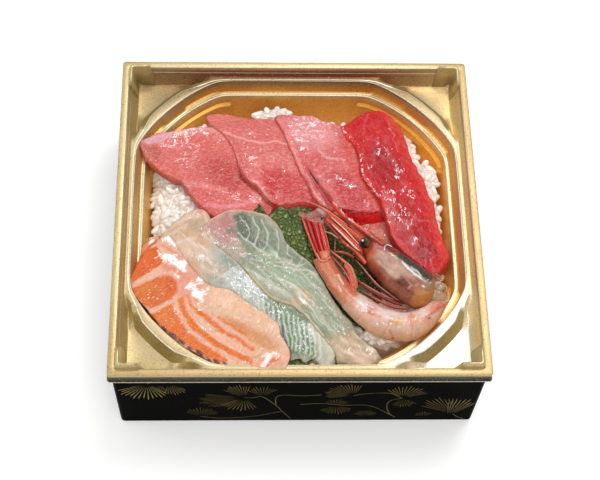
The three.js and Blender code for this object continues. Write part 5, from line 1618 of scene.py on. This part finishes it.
# %% [markdown]
# ## The shrimp
# The shrimp lies on its side. Its head shell still has the eye, the long toothed beak and
# the bundle of antenna plates, the peeled body curls back below it, and the tail fan ends
# beside the beak. Each part is a hull between two edges traced in the picture: every ring is
# an oval whose ends lie on the two edges, and whose depth is given in mm. So the outline is
# exact from the camera, and the part is still a full round body from every other side.

# %% Helpers for hulls and strands


def outward(points, faces):
    """The same skin with its faces turned outwards."""
    inside = sum(np.dot(points[f[0]], np.cross(points[f[i]], points[f[i + 1]]))
                 for f in faces for i in range(1, len(f) - 1))
    return (points, faces) if inside > 0 else (points, [face[::-1] for face in faces])


def hull(upper, lower, z, depth, sides=16, count=30, ripple=None):
    """Points and faces of a body between two traced edges."""
    upper, lower = smooth_line(upper, count), smooth_line(lower, count)
    middle = at_height((upper + lower) / 2, smooth_values(z, count))
    far = (np.array(CAMERA_AT) / MM - middle) @ np.array(BACK)
    half = (upper - lower) / 2 * (far / FOCAL)[:, None]
    side = half[:, :1] * np.array(RIGHT) - half[:, 1:] * np.array(UP)
    deep = smooth_values(depth, count)[:, None] * np.array(BACK)
    turns = 2 * math.pi * np.arange(sides) / sides
    grown = np.ones((count, sides))
    if ripple is not None:
        grown = ripple(np.linspace(0, 1, count)[:, None], turns[None])
    rings = (middle[:, None] + side[:, None] * (grown * np.cos(turns))[..., None] + deep[:, None] *
        (grown * np.sin(turns))[..., None])
    return outward(*closed_loft(rings))


def strand(path, wide, z, depth=None, sides=8, count=24):
    """A thin body along a traced line. wide is in pixels, depth in mm."""
    line = smooth_line(path, count)
    ways = np.gradient(line, axis=0)
    across = np.stack([-ways[:, 1], ways[:, 0]], 1) / np.linalg.norm(ways, axis=1)[:, None]
    half = smooth_values(wide, count)[:, None] / 2
    depth = [w * 0.2 for w in wide] if depth is None else depth
    return hull(line - across * half, line + across * half, z, depth, sides, count)


def tinted(parts):
    """Several (points and faces, colour) as one, with the colour of every point."""
    points, faces = joined([part for part, _ in parts])
    return points, faces, np.vstack([np.tile(linear(colour), (len(part[0]), 1)) for part, colour in parts])


print("a hull of 30 rings has", len(strand("0 0, 9 9", [2, 2], [50, 50])[1]), "faces")

# %% [markdown]
# The head shell is drawn first. A keel runs along its back and a groove around its cheek,
# as on every prawn, so the rings are dented by a ripple function. The face in front of it
# carries the eye.

# %% Shape the head shell
SHELL_TOP = ("368 239, 376 236.5, 385 241.6, 394 247.4, 403 253.7, 412 260, 421 266.5, 429 273, 434.2 279, "
    "434.6 286")
SHELL_FOOT = ("364 256, 365.5 265, 373 275.5, 382 285.5, 392 294.5, 402 302, 412 308.5, 421 308.5, "
    "429.5 304.5, 433.4 297")
SHELL_DEPTH = [3.2, 5.2, 6.6, 7.2, 7.5, 7.5, 7.2, 6.2, 4.2, 1.6]


def shell_folds(t, turn):
    """The keel along the back, the cheek groove, and the lip at the rear edge."""
    keel = 0.03 * np.exp(-((np.cos(turn) - 0.93) / 0.03) ** 2)
    groove = -0.035 * np.exp(-((t - 0.34 - 0.10 * np.cos(turn)) / 0.03) ** 2) * (np.sin(turn) > -0.2)
    cheek = (-0.05 * np.exp(-((np.cos(turn) + 0.2 - 0.3 * t) / 0.09) ** 2) * ease(0.1, 0.3, t) *
        ease(0.95, 0.8, t))
    lip = 0.04 * np.exp(-((t - 0.90) / 0.02) ** 2) - 0.03 * np.exp(-((t - 0.94) / 0.015) ** 2)
    return 1 + keel + groove + cheek + lip


shell = hull(SHELL_TOP, SHELL_FOOT, [49.2] * 3, SHELL_DEPTH, sides=96, count=110, ripple=shell_folds)
face = hull("350 222.5, 358 227.5, 368 233, 380 240, 390 247",
    "352 240, 358 247, 364 255, 372 259, 382 258", [51.4, 51.2, 51.0, 50.6, 50.2],
    [1.2, 2.4, 3.2, 3.6, 3.0], sides=28, count=40)
BEAK_TOP = ("385 243.6, 373 234.6, 362 227, 352.6 220.4, 344 213, 337 205.5, 330.5 197.5, 323 188.5, "
    "315 178, 307.3 167.2")
BEAK_FOOT = ("381.6 246.6, 369.6 238.6, 359.4 231, 350.4 224, 341.5 217, 334 209.5, 328 200.5, "
    "321.2 190.2, 313.8 179.4, 307 167.8")
beak = hull(BEAK_TOP, BEAK_FOOT, [55.2, 55.8, 55.9, 55.4, 54.4, 53.6, 53.0, 52.8, 52.6, 52.2],
    [1.6, 1.5, 1.4, 1.2, 1.1, 0.9, 0.5, 0.4, 0.35, 0.12], sides=14, count=90)
TEETH = 11
teeth = []
crest = smooth_line(BEAK_TOP, TEETH * 5)
for n in range(TEETH):
    at, ahead = crest[4 * n + 2], crest[4 * n + 4]
    way = (ahead - at) / np.linalg.norm(ahead - at)
    out = np.array([-way[1], way[0]])
    out = out if out[1] < 0 else -out
    size = float(np.interp(n / TEETH, [0, 0.5, 1], [1.5, 1.5, 0.5]))
    path = [at - out * 0.8, at + out * size * 0.5 + way * size * 0.7, at + out * size * 0.7 + way * size * 2]
    teeth.append(strand(path, [size * 1.1, size * 0.7, 0.1], [55.6 - 0.3 * n] * 3, sides=6, count=6))
# A hook-shaped white strand that stands for a highlight on the shell.
HOOK_HIGHLIGHT = strand("384.4 250.5, 384.8 247, 387.5 244.9, 392 246.6", [1.0, 1.6, 1.6, 0.6],
    [56.3, 56.4, 56.4, 56.2])
print("head shell faces:", len(shell[1]), "teeth:", len(teeth))

# %% [markdown]
# Below the beak lie the antenna plates: long thin blades, side by side, with stiff pale
# edges. A pale spike crosses the tuna above them, and a frilled patch of clear skin
# joins them to the tail. Every part has its own red, orange or cream.

# %% Fan out the antenna plates
CREAM, CORAL, RUST, BRICK = "#ecba9e", "#da4a26", "#962e18", "#c8381a"
PLATES = [("338 208.6, 348 217.2, 358 225.4, 371 235", "333 214, 344 223, 354 231.4, 364 240", 53.0,
    "#c65230"), ("327 212, 340 219, 352 227, 364 236", "326 223.6, 338 237, 349 249, 360 259", 49.8,
    "#ba5438"), ("325 220.5, 333 228, 341 236.5, 350 244.5, 361 252",
    "324.5 223.5, 332 231, 339 239, 348 247.5, 359 257", 50.8, RUST),
    ("341 238.3, 347 243.2, 354 248, 361 254.5, 367 262",
    "341.5 243, 347 247, 353 251.5, 359 258.5, 364.5 265", 51.0, CORAL),
    ("326 216.5, 334 222.5, 344 231, 354 240.5, 363 248", "325 221, 333 228, 343 238, 353 247, 362 255",
    51.8, BRICK), ("327 211.5, 336 217.8, 346 225, 357 232.5, 366 239",
    "328 216, 336 222.5, 346 231, 356 240, 363 247", 52.6, CORAL)]
RIBS = [("304 200.6, 316 205, 326 210, 336 217, 348 225.5", [0.5, 1.5, 2.2, 2.2, 1.2], 53.6, "#e4705c"),
    ("331 217, 338 223, 346 230.5, 353 238, 359 244", [0.8, 1.4, 1.6, 1.4, 0.8], 53.2, CREAM),
    ("332 224, 340 232, 348 240, 355 247, 360 251", [0.8, 1.8, 2.0, 1.8, 0.8], 52.8, "#f4ceba"),
    ("334 213.5, 342 218.5, 350 225", [0.6, 1.3, 0.5], 53.8, "#781416"), ("340 221.5, 350 229, 360 237",
    [0.5, 1.0, 0.4], 53.9, "#e88c68"), ("345 217.5, 355 224.5, 364 231.5", [0.5, 1.0, 0.4], 54.6,
    "#e67c5c"), ("324.5 231.4, 331 233.4, 337 237.4, 344 241.5", [0.6, 1.5, 1.5, 1.0], 50.4, "#d49278"),
    ("335.2 238, 335 245, 334.6 252", [1.2, 1.5, 1.5], 48.6, "#924630"),
    ("334 251.6, 341 252.2, 348 254, 354 257.5", [1.4, 2.6, 3.0, 2.6], 48.2, "#b04834"),
    ("342 268.5, 345 271, 347 276, 348.5 281", [0.6, 1.0, 1.6, 1.0], 46.6, "#96382c")]
plate_parts = [(hull(up, low, [z] * 3, [0.5, 0.8, 1.0, 1.1, 1.0], sides=14, count=34), colour)
               for up, low, z, colour in PLATES]
plate_parts += [(strand(path, wide, [z] * 3), colour) for path, wide, z, colour in RIBS]
print("plates and feelers:", len(plate_parts))

# %% [markdown]
# Jaw legs lie along the shell's lower edge as dark, shiny double strands. A pale strand on
# each of the two darkest is a painted highlight, and a short black strand is painted shade in
# the slit between them.

# %% Lay the legs
DARK_SHELL = "#682218"
# The pale strands are painted highlights, and the last, black one is painted shade in the slit.
STRANDS = [("350 254, 357 261, 363 268.5, 370 277, 377 285, 386 292, 396 299, 405 303",
    [2.6, 3.6, 4.0, 4.2, 4.2, 4.2, 3.8, 3.0], [46.4, 45.6, 45.2, 45.0, 44.8, 44.8, 45.0, 45.4], DARK_SHELL),
    ("356 260, 364 269, 371 277.5, 378 285, 387 292, 398 300", [0.8, 1.3, 1.5, 1.5, 1.3, 0.8],
    [46.6, 46.2, 46.0, 45.8, 45.8, 46.0], "#c48474"), ("357 281.5, 365 286.5, 373 291.5, 382 296.5, "
    "391 301, 402 305", [2.6, 3.8, 4.2, 4.4, 4.2, 3.0], [45.4, 45.0, 44.8, 44.6, 44.6, 45.0], "#862e22"),
    ("358 280.6, 366 285.4, 374 290, 384 295.4, 394 299.6", [0.8, 1.4, 1.5, 1.3, 0.8],
    [46.2, 45.9, 45.7, 45.6, 45.6], "#c66e5e"), ("361.5 291, 369 295.2, 377 299.8, 387 304.6, 397 307.6, "
    "409 308.4", [1.2, 2.4, 2.8, 3.2, 3.2, 2.4], [46.4, 46.0, 45.8, 45.6, 45.6, 45.8], "#b24232"),
    ("362 293, 365.5 296, 370 298.6", [1.2, 2.2, 1.0], [47.8, 47.8, 47.8], "#1a0606")]
leg_parts = [(strand(path, wide, z, sides=10, count=36), colour) for path, wide, z, colour in STRANDS]
print("strands:", len(leg_parts))

# %% [markdown]
# The peeled body keeps the steps where its shell rings overlapped. The ripple below raises
# each of six rings towards its rear edge and lets it drop behind. Its first ring still has
# its orange shell. A thin swimming plate hangs from it, and clear skin joins its other
# end to the head.

# %% Curl the body
BODY_IN = ("329.5 254, 335 263.5, 342 274, 350 284, 358 291.5, 368 298, 379 304.5, 391 309.5, 402 312, "
    "413 311, 422 307.5, 429 303, 435 296.5, 439 291.5")
BODY_OUT = ("313 260, 317.5 270, 324 281, 331 292, 338 301.5, 347 312, 358 323.5, 371 333, 388 339.8, "
    "407 341, 425 334.5, 438 321, 446.5 304, 446.5 296")
BODY_DEPTH = [3.4, 3.9, 4.4, 4.9, 5.4, 6.0, 6.4, 6.7, 6.7, 6.4, 5.9, 5.0, 3.6, 2.2]
SEGMENTS = 6


def body_rings(t, turn):
    """Overlapping rings, each highest just before its edge, with a soft belly fold."""
    place = t * SEGMENTS
    part = place - np.floor(place)
    step = 0.08 * (ease(0.0, 0.14, part) - part)
    belly = -0.05 * np.exp(-((np.cos(turn) - 0.75) / 0.16) ** 2)
    return 1 + step * (0.4 + 0.6 * np.abs(np.sin(turn / 2))) + belly


peeled_body = hull(BODY_IN, BODY_OUT, [47.3, 47, 47, 47, 47], BODY_DEPTH, sides=64, count=170,
    ripple=body_rings)
flap_parts = [(hull("345 262.5, 352 267.3, 355.3 274, 357.6 281, 358 288",
    "343.5 266, 347 272, 348.5 279, 350 285, 353 290", [49.4, 49.4, 49.2, 48.8, 48.2],
    [0.4, 0.7, 0.8, 0.8, 0.5], sides=16, count=30), "#c45c3e"),
    (strand("330.5 250.6, 337 255.6, 344 261.2, 350 266.2, 354 271", [1.0, 2.0, 2.6, 2.6, 1.4],
    [49.6, 49.8, 50.0, 50.0, 49.6], sides=10, count=30), "#e26e5e"),
    (strand("331.5 256, 337.5 262.4, 344 270.4, 349 279, 351 286", [0.8, 1.4, 1.6, 1.6, 1.0],
    [49.2, 49.4, 49.4, 49.4, 49.0], count=30), "#ce4234")]
# The pale strand on the upper skin's edge is a painted highlight.
skin_parts = [(hull("312.6 213.4, 315 210, 317.8 207.6, 321 208.8, 325 210, 328 212.6, 332 215.4",
    "313 216, 315.6 217, 318.6 216.4, 322 217.6, 325.6 217.6, 329 219.4, 332.4 218", [50.4] * 3, [0.15] * 3,
    sides=14, count=40), "#ce8480"), (strand("315 211, 317.4 208.8, 321 209.4, 325 211, 328 213.2, "
    "330 215.8", [0.5, 0.8, 0.8, 0.5], [50.6] * 3, sides=6, count=24), "#fad6c8"),
    (hull("304.6 215, 308 213.6, 311 211.8, 314 210.4, 317.4 209.6",
    "309 219.6, 312 221, 315 222, 318 222.4, 321 219", [49.2] * 3, [0.2] * 3, sides=12, count=40),
    "#d08070"), (strand("309 219.6, 312.4 221.2, 316 222, 319.4 221.4", [0.5, 0.9, 0.9, 0.5], [49.6] * 3,
    sides=6, count=20), "#f4c6b0"), (hull("431.5 273.5, 436 272.4, 440 275.4, 441.4 279",
    "432 278, 434 280.6, 437 281.4, 440 280.6", [49.4] * 3, [0.6, 0.8, 0.6, 0.3], sides=14, count=16),
    "#b06248"), (hull("434 287, 436.5 284.4, 440.5 283, 444.5 284.6, 446.6 288",
    "434.2 288, 437 291.4, 440.5 292.8, 444 291.6, 446.4 289.4", [50.6] * 3, [0.4, 1.6, 2.0, 1.6, 0.4],
    sides=20, count=24), "#b09060"), (strand("433.8 287.6, 437 284.2, 441 282.8, 445 285, 446.8 288.6, "
    "444.6 291.8", [0.6, 1.1, 1.2, 1.2, 1.2, 0.6], [52.0] * 3), "#e0b48e"),
    (strand("434.4 288.4, 438 291.8, 442 293", [0.6, 1.1, 0.6], [52.0] * 3), "#d6a880"),
    (strand("446 290.6, 448.4 294, 448.6 299, 446.2 303.4", [0.8, 1.6, 1.8, 0.8], [49.4] * 3), "#e6c096"),
    (hull("431 291, 436 288.5, 441 290.5, 446 294", "431 301, 436 303.5, 441 303, 445.5 300", [50.0] * 3,
    [1.4, 2.2, 2.0, 1.0], sides=20, count=24), "#c4a27c")]
print("body faces:", len(peeled_body[1]))

# %% [markdown]
# The tail fan is four broad blades that overlap, with raised ribs, and each ends in a
# fringe of short pale hairs. A clear joint ties them to the body.

# %% Open the tail fan
DEEP_RED = "#a6040a"
BLADES = [("299.4 212.5, 303 222.5, 307 234.5, 312 248, 317.6 261",
    "305 214, 308.6 224, 312.4 236, 316.6 248, 321.6 260", 47.6, "#c83e26"),
    ("303.6 215, 307.4 226, 312.4 240, 318 256", "312 218, 314.6 229, 318 242, 323 257", 48.5, DEEP_RED),
    ("310 218, 313.6 230, 317.6 243, 322 257", "318.6 220, 320.6 231, 323 244, 326 256", 49.2, "#ac080c"),
    ("316.6 220, 319.4 231, 322.4 243, 325.4 256", "322.4 221.4, 325.2 232, 328.2 244, 330.4 255", 48.4,
    "#c83826")]
TAIL_RIBS = [("301 214, 305.6 228, 311 242, 317 257", [0.8, 1.5, 1.6, 1.0], 48.8, "#de623e"),
    ("306 217, 310 230, 315.6 245, 321 257", [0.6, 1.0, 1.2, 0.8], 49.4, "#bc2c24"),
    ("314 219.6, 317 232, 321 246, 325 257", [0.8, 1.3, 1.5, 1.0], 50.0, "#d65442"),
    ("318.6 221, 321 232, 324 245, 326.6 255", [0.6, 1.0, 1.1, 0.8], 49.8, "#d24a38"),
    ("322.4 221.4, 325.2 232, 328.2 244, 330 254", [0.6, 1.1, 1.2, 0.8], 49.0, "#dc684c")]
tail_parts = [(hull(up, low, [z] * 3, [0.35, 0.6, 0.8, 1.2], sides=16, count=36), colour)
              for up, low, z, colour in BLADES]
tail_parts += [(strand(path, wide, [z] * 3), colour) for path, wide, z, colour in TAIL_RIBS]
tail_parts.append((hull("329.8 249.5, 330.4 253, 330.2 257.5", "316.6 252, 316.8 257, 318.4 262",
    [48.6] * 3, [2.2, 2.8, 2.6], sides=24, count=16), "#d0623c"))
tail_parts.append((strand("316.4 253, 320 259.6, 325 261, 330.4 256.6", [0.8, 1.4, 1.4, 0.8], [51.0] * 3),
    "#e89c82"))
HAIRS = 44
rng = random.Random(3)
hairs = []
for n in range(HAIRS):
    share = n / (HAIRS - 1)
    x, y = smooth_line("299.8 214, 304 216.6, 311 218.6, 318 221, 323 222", HAIRS)[n]
    lean, length = rng.uniform(-1.2, 1.6) + 2 * share, rng.uniform(3.2, 6.2)
    path = [(x, y + 2.5), (x + lean * 0.5, y - length * 0.3), (x + lean, y - length * 0.8)]
    hairs.append((strand(path, [0.9, 0.6, 0.2], [48.6, 49.0, 49.4], sides=5, count=6),
        rgb(214 + 20 * share, 140 + 40 * share, 118 + 44 * share)))
print("tail parts:", len(tail_parts), "hairs:", len(hairs))

# %% [markdown]
# The colours are painted like those of the slices. The head is see-through shell over dark
# organs: nearly black along the rear of its back, pale rose on its cheek, brown below and
# amber behind.

# %% Colour the shrimp
shell_red = flesh("shrimp_shell", 45, grain=(0.7, 7.0), grain_strength=0.12, glint=(0.9, 3.0), relief=0.12,
    worms=0.05, coat=(0.6, 0.5), roughness=0.35)
clear_skin = flesh("shrimp_clear_skin", 20, glint=(0.8, 2.0), relief=0.15, worms=0.05, coat=(0.9, 0.5),
    roughness=0.25, alpha=0.5)
peeled = flesh("shrimp_flesh", 20, grain=(1.3, 1.5), grain_strength=0.06, glint=(1.1, 1.5), relief=0.2,
    light_reach=2.0, worms=0.09, coat=(0.3, 0.5), glint_colour=(0.98, 0.92, 0.90, 1))
head = make_piece("shrimp_head_shell", *joined([shell, face]), shell_red, "shrimp_shell", ["shrimp_head"])
# Painted highlights: the white streaks along the back and the white speck near 423 286 are the shell's
# shine.
paint(head, "#a45c42", [(spot(372, 258, 10, 9), "#c4704c", 0.9), (area("350 222, 368 230, 384 240, "
    "380 246, 372 250, 366 262, 352 250", 2), "#c4482a", 0.95), (spot(370, 268, 8, 7, 45), "#aa4c2c", 0.8),
    (spot(378, 277, 8, 4, 45), "#963822", 0.9), (area("374 257, 380 251, 390 253, 398 260, 405 267, "
    "414 274, 414 279, 402 277, 396 280, 388 279, 381 271", 2.5), "#c49882", 0.97),
    (spot(392, 268, 9, 6, 40), "#cea692", 0.7), (spot(388, 259, 7, 4, 30), "#c49488", 0.7),
    (spot(379, 246, 5, 4), "#be7676", 0.9), (spot(377, 241, 5, 2.5, 30), "#ce8070", 0.6),
    (stroke("378 251, 383 254, 387 259", 1.6, 1), "#d6b2ac", 0.7),
    (stroke("390 253, 395 256, 399 260", 3.5, 1.5), "#ba9664", 0.85),
    (area("384 244, 394 248, 405 255, 406 259, 398 256, 388 251", 1.5), "#702224", 0.95),
    (stroke("398 258, 408 266, 420 276, 426 282", 6, 2), "#8c7662", 0.9),
    (stroke("402 256.5, 411 262.5, 420 269.5, 429 277", 8.5, 1.6), "#443a30", 0.97),
    (stroke("406 262, 414 268, 424 276", 2.5, 1.2), "#2c241e", 0.8),
    (stroke("404 253, 413 259.5, 422 266, 431 273.5", 2.2, 1.2), "#6e5440", 0.7),
    (area("397 279.5, 404 278, 410 281, 412 286, 404 288, 398 285", 2), "#662e20", 0.9),
    (area("384 284, 398 286, 412 288, 415 298, 408 303, 396 297", 3), "#a45c42", 0.9),
    (spot(404, 293, 6, 4, 40), "#9e604c", 0.7), (spot(413, 282, 6, 3, 20), "#966854", 0.7),
    (stroke("364 264, 373 276.5, 383 288, 394 297, 404 304, 412 309", 4.6, 2.2), "#581a12", 0.95),
    (area("415 290, 424 285, 434 286, 434 300, 424 307, 416 309, 411 302", 2.5), "#b8783a", 0.97),
    (spot(425, 300, 7, 5, -20), "#bc7832", 0.8), (spot(423, 287, 7, 3, 20), "#9e785a", 0.8),
    (stroke("404 277.6, 408.6 280.6, 411.6 284, 410 287", 1.2, 0.7), "#c49682", 0.9),
    (stroke("407 288.4, 412 285.4, 418 284.4", 1.1, 0.7), "#c49280", 0.9),
    (stroke("402 262, 405.6 266, 410 269, 414.4 274, 419 277, 425.6 282", 1.7, 0.6), "#f4f4f2", 0.97),
    (stroke("411 267, 416 270.6, 421 276", 1.0, 0.6), "#eeeeec", 0.8),
    (stroke("423 280, 431 287", 3, 1.5), "#967c6c", 0.8), (spot(423, 286, 1.3, 1.3), "#f4eae2", 0.9),
    (stroke("382 238.6, 391 244.6, 400 250", 1.2, 0.7), "#d87a6c", 0.85),
    (stroke("384 262, 392 270, 400 275", 2.2, 2), "#e8d0c4", 0.6),
    (stroke("380 268, 388 276, 396 282", 2.4, 2), "#803e2c", 0.6),
    (stroke("386 281, 396 290, 406 297", 2.0, 1.6), "#ba785c", 0.6),
    (stroke("398 283, 406 290, 414 293", 2.0, 1.6), "#542218", 0.6),
    (stroke("392 254, 402 262, 412 270", 1.6, 1.4), "#d6b6a0", 0.5)], wobble=1.2, blotch=0.3)
mark(head, "gloss_and_painted_glints", [(spot(378, 242, 8, 4, 30), 0.8), (spot(430, 281, 6, 5), 0.6)], base=0.1)


def dress(name, parts, material, slot, stands_for=(), touches=(), wet=0.2):
    """A piece of many tinted parts, with a few touches."""
    points, faces, colours = tinted(parts)
    piece = make_piece(name, points, faces, material, slot, stands_for)
    paint(piece, colours, touches, wobble=0.3)
    mark(piece, "gloss_and_painted_glints", [], base=wet)
    return piece


beak_parts = [(beak, "#d63414"), (HOOK_HIGHLIGHT, "#faf6f4")] + [(tooth, "#d86846") for tooth in teeth]
# Painted light and shade on the beak: near black and dark red along its tip as its shadow, and white
# sparkles along its upper edge as highlights.
dress("shrimp_beak", beak_parts, shell_red, "shrimp_shell",
    touches=[(stroke("307 167, 312 174, 318 182", 5, 2.0), "#320c0c", 0.95),
    (stroke("320 186, 326 194, 331 201", 5, 2.0), "#961a16", 0.8),
    (stroke("334 202, 337.5 205.5", 1.8, 0.8), "#f6e2dc", 0.9),
    (stroke("341 209.6, 344 213", 1.8, 0.8), "#f6e2dc", 0.9), (spot(350, 218.8, 1.6, 1.2), "#faf4f0", 0.95),
    (spot(353.4, 220.8, 2, 1.4, 30), "#faf4f0", 0.95), (spot(366, 228.6, 1.2, 1), "#faf0ec", 0.9),
    (stroke("346 218, 358 228.6, 372 239", 2, 1.2), "#8c1a14", 0.7),
    (stroke("352 221, 362 228.2, 372 235.4", 0.9, 0.5), "#eca082", 0.8),
    (stroke("370 235, 378 240, 386 246", 5, 3), "#964234", 0.8)], wet=0.25)
dress("shrimp_antenna_plates", plate_parts, shell_red, "shrimp_shell", wet=0.3)
dress("shrimp_leg_strands", leg_parts, shell_red, "shrimp_shell", ["shrimp_legs"], wet=0.1)
# The white spots are painted highlights.
dress("shrimp_clear_skin", skin_parts, clear_skin, "shrimp_shell",
    touches=[(spot(319.6, 210.4, 2.2, 1.2, 20, 0.8), "#fae8e4", 0.9),
    (spot(322.6, 213, 1.3, 1.0, 0, 0.8), "#fcf4f0", 0.95), (stroke("320 215.4, 324 216, 329 218", 1.6, 1.2),
    "#b0564c", 0.7)], wet=0.45)
dress("shrimp_swim_plate", flap_parts, shell_red, "shrimp_shell", wet=0.2)
dress("shrimp_tail_fan", tail_parts, shell_red, "shrimp_shell", ["shrimp_tail"],
    [(stroke("302 213.5, 312 218, 323 221.5", 5, 2.5), "#ce7060", 0.7),
    (stroke("318 252, 319.6 256, 321 258", 1.6, 0.8), "#460c0e", 0.7),
    (spot(325, 254, 4, 3), "#e2967e", 0.6)], wet=-0.1)
dress("shrimp_tail_fringe", hairs, clear_skin, "shrimp_shell", wet=0.1)
# At each ring edge a thin orange line, with a pale line beside it painted as the step's highlight.
RING_EDGES = ["356 285, 353 291, 347 296, 341 300", "369 303, 367 309, 362 315, 356 321",
    "390 309.6, 391 317, 388 326, 384 334", "407 312, 411 319, 413 327, 412 336",
    "424 306, 430 311, 436 316, 441 320"]
body = make_piece("shrimp_peeled_body", *peeled_body, peeled, "shrimp_flesh", ["shrimp_body"])
# The white streaks near 338 275 and 340 286 are painted highlights.
paint(body, "#dbb29e", [(stroke("350 316, 364 328, 382 336, 404 338, 424 331, 438 318", 13, 6), "#e8b692",
    0.9), (area("310 258, 331 250, 346 272, 356 287, 349 297, 338 301, 328 292, 318 274", 7), "#c46232",
    0.95), (spot(352, 300, 9, 6, 40, 0.9), "#d4845c", 0.6),
    (stroke("360 303, 372 308, 386 314, 404 317, 422 313", 11, 5), "#ecd0ca", 0.7)] +
    [(stroke(edge, 1.5, 0.8), "#d2845c", 0.5) for edge in RING_EDGES] +
    [(stroke([(x + 1.6, y + 0.8) for x, y in traced(edge)], 0.9, 0.7), "#f6e2d6", 0.4)
     for edge in RING_EDGES] +
    [(stroke("322 264, 332 278, 342 292", 6, 3), "#d88a6e", 0.7),
    (stroke("331 256, 338 268, 347 280, 353 289", 4, 2), "#c84836", 0.85),
    (stroke("314 262, 322 279, 334 297", 4, 2.5), "#c46436", 0.7),
    (stroke("338 275, 341 279, 344 283", 1.6, 0.8), "#f6e0d6", 0.9),
    (stroke("339.6 286, 341.6 291", 1.4, 0.8), "#f0d6c8", 0.8), (spot(334, 282, 4, 5, -30), "#de9c82", 0.6),
    (spot(354, 291, 6, 5), "#ce623e", 0.85), (spot(350, 303, 6, 5, 30), "#dc9676", 0.6),
    (spot(343, 300, 4, 4), "#ce7c54", 0.6), (spot(377, 314, 8, 4, 30), "#de9e70", 0.8),
    (spot(372, 311, 6, 4.6, 30), "#ce642e", 0.95), (spot(370.4, 312.6, 2, 1.4), "#b04222", 0.8),
    (spot(394, 322, 6, 4), "#da9062", 0.8), (spot(413, 319, 6, 6), "#dc926c", 0.8),
    (spot(427, 321, 6, 4, -20), "#e29670", 0.7), (spot(434, 309, 6, 4, -40), "#d87a5c", 0.85),
    (spot(440, 303, 4, 5), "#d26c54", 0.8), (spot(392.6, 338, 2, 1.2), "#c85034", 0.8),
    (stroke("436 320, 442 312, 446 302", 3, 2), "#d68064", 0.4),
    (spot(428.6, 318.6, 1.6, 1.1), "#c4402e", 0.9), (spot(380, 316.6, 1.2, 0.9), "#ce5c3c", 0.7),
    (stroke("412 314, 410 320, 411 326", 2.4, 1.4), "#dc8e64", 0.7),
    (stroke("390 330, 391 334, 393.4 338", 1.8, 1.0), "#ce7042", 0.8),
    (stroke("431 301.6, 435 299.6, 439 301", 1.2, 0.8), "#c0422e", 0.85),
    (stroke("436 308.6, 440 307.4, 444 305", 1.3, 0.8), "#c43c2c", 0.85),
    (stroke("430 313.6, 435 312.6, 440 310", 1.0, 0.8), "#cc543c", 0.7),
    (area("430 300, 436 292, 448 292, 447 299, 440 302", 2), "#ceac8c", 0.85),
    (stroke("368 300, 384 307, 402 312, 418 310", 2.5, 1.5), "#ce8074", 0.7),
    (spot(397, 319, 7.5, 6, 10), "#e2aa70", 0.85), (spot(366, 318, 7, 4, 40), "#e4ac8a", 0.6),
    (stroke("424 318, 431 314, 438 308", 1.4, 1), "#be422c", 0.7),
    (stroke("432 303, 438 301, 443 304", 1.2, 1), "#c44c36", 0.7),
    (spot(388, 314, 16, 4, 12), "#e8d0cc", 0.7), (spot(362, 304, 8, 5, 30), "#e4c8c0", 0.7)], blotch=0.14)
mark(body, "gloss_and_painted_glints", [(spot(400, 320, 30, 8, -5), 0.75), (spot(364, 306, 14, 8, 30), 0.8),
    (spot(340, 282, 6, 10, -30), 0.4)], base=0.2)
print("shrimp coloured")

# %% [markdown]
# The eye is a black, wet bead with a brown side where light enters it, and one white dot painted as a
# highlight.

# %% Set the eye
eye_black, tree, shader = new_material("eye_black", Specular_IOR_Level=0.2, Coat_Weight=0.35,
    Coat_Roughness=0.03)
cloudy = use(tree, relief_group, Coarse=1.2)["Height"]
feed(tree, shader["Base Color"], blend(tree, spread(tree, cloudy, -0.1, 3.4),
    attribute(tree, "tint", "Color"), (0.004, 0.003, 0.002, 1)))
feed(tree, shader["Roughness"], spread(tree, cloudy, -0.5, 4.0))
eye = soft_copy("shrimp_eye", "shrimp_eye_ball", eye_black, face=0.25, rounds=6, stir=(0, 0))
# The white dot near 362.6 240.4 is a painted highlight.
paint(eye, "#0e0806", [(spot(370, 243.6, 3.4, 4.4, 20), "#845030", 0.95),
    (spot(366.5, 236.6, 4, 1.8, 20), "#54582c", 0.8),
    (stroke("364 238, 367 239.6", 1.2, 0.7), "#786e68", 0.7), (stroke("363.6 246.6, 366 243.6", 1.0, 0.6),
    "#60483a", 0.6), (spot(362.6, 240.4, 1.1, 1.1, 0, 0.3), "#ffffff", 1.0)], wobble=0.0)
print("eye set")

# %% Measure and finish
size = {"cad": [list(corner) for corner in cad_box], "visual": [list(corner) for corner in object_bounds()]}
faces = sum(len(piece.data.polygons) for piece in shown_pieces())
print("faces in all:", faces, "size:", size)
